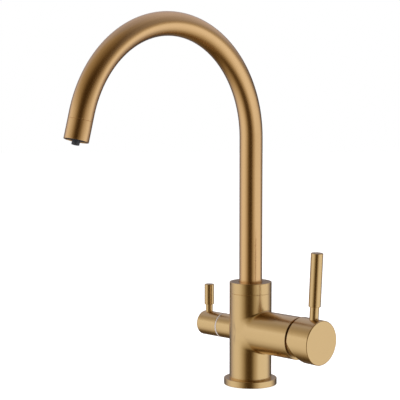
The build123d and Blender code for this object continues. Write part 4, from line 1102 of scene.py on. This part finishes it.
class TapStage(bpy.types.Operator):
    """Pale floor, soft studio light and the camera at the photograph's angle."""

    bl_idname = "tap.stage"
    bl_label = "Stage"

    def execute(self, context):
        scene, studio = context.scene, context.scene.tap_studio
        scene.view_settings.view_transform = "Standard"
        studio_light(studio)
        floor = pale_floor(studio.floor_radius)

        # two soft lamps for the plastics and the floor, 70 degrees to each side of the camera
        away, up, size, middle = 1.4, 1.1, 1.0, Vector((0, -0.05, 0.12))
        for name, side, power in (("left_fill", -1, 9.0), ("right_fill", 1, 12.0)):
            lamp = bpy.data.lights.new(name, "AREA")
            lamp.shape, lamp.size, lamp.size_y, lamp.energy = "RECTANGLE", size, size, power
            light = bpy.data.objects.new(name, lamp)
            scene.collection.objects.link(light)
            bearing = studio.heading + side * radians(70)
            light.location = (away * sin(bearing), -away * cos(bearing), up)
            aim = middle - light.location
            light.rotation_euler = aim.to_track_quat("-Z", "Y").to_euler()
            light.visible_glossy = False

        camera = bpy.data.objects.new("camera", bpy.data.cameras.new("camera"))
        scene.collection.objects.link(camera)
        camera.location = studio.camera_place
        level = cos(studio.pitch)
        look = (-sin(studio.heading) * level, cos(studio.heading) * level, -sin(studio.pitch))
        camera.rotation_euler = Vector(look).to_track_quat("-Z", "Y").to_euler()
        camera.data.sensor_width = 36.0
        camera.data.lens = studio.lens
        camera.data.clip_start, camera.data.clip_end = 0.05, 50.0
        scene.camera = camera
        return {"FINISHED"}


OPERATORS = (TapInnerParts, TapBody, TapFoot, TapSpout, TapMixerHandle, TapFilterHandle, TapStage)


class TapPanel(bpy.types.Panel):
    """Sidebar panel with the tap's pieces and sizes."""

    bl_idname = "VIEW3D_PT_tap"
    bl_label = "Filtered water tap"
    bl_space_type = "VIEW_3D"
    bl_region_type = "UI"
    bl_category = "Tap"

    def draw(self, context):
        for operator in OPERATORS:
            self.layout.operator(operator.bl_idname)
        for attribute, group in GROUPS.items():
            box = self.layout.box()
            box.label(text=group.__doc__)
            for key in group.__annotations__:
                box.prop(getattr(context.scene, attribute), key)


def register():
    for kind in (*GROUPS.values(), *OPERATORS, TapPanel):
        bpy.utils.register_class(kind)
    for attribute, group in GROUPS.items():
        setattr(bpy.types.Scene, attribute, bpy.props.PointerProperty(type=group))


def unregister():
    for attribute in GROUPS:
        delattr(bpy.types.Scene, attribute)
    for kind in reversed((*GROUPS.values(), *OPERATORS, TapPanel)):
        bpy.utils.unregister_class(kind)


def main():
    register()
    bpy.ops.tap.inner_parts()
    bpy.ops.tap.body()
    bpy.ops.tap.foot()
    bpy.ops.tap.spout()
    bpy.ops.tap.mixer_handle()
    bpy.ops.tap.filter_handle()
    bpy.ops.tap.stage()


if __name__ == "__main__":
    main()
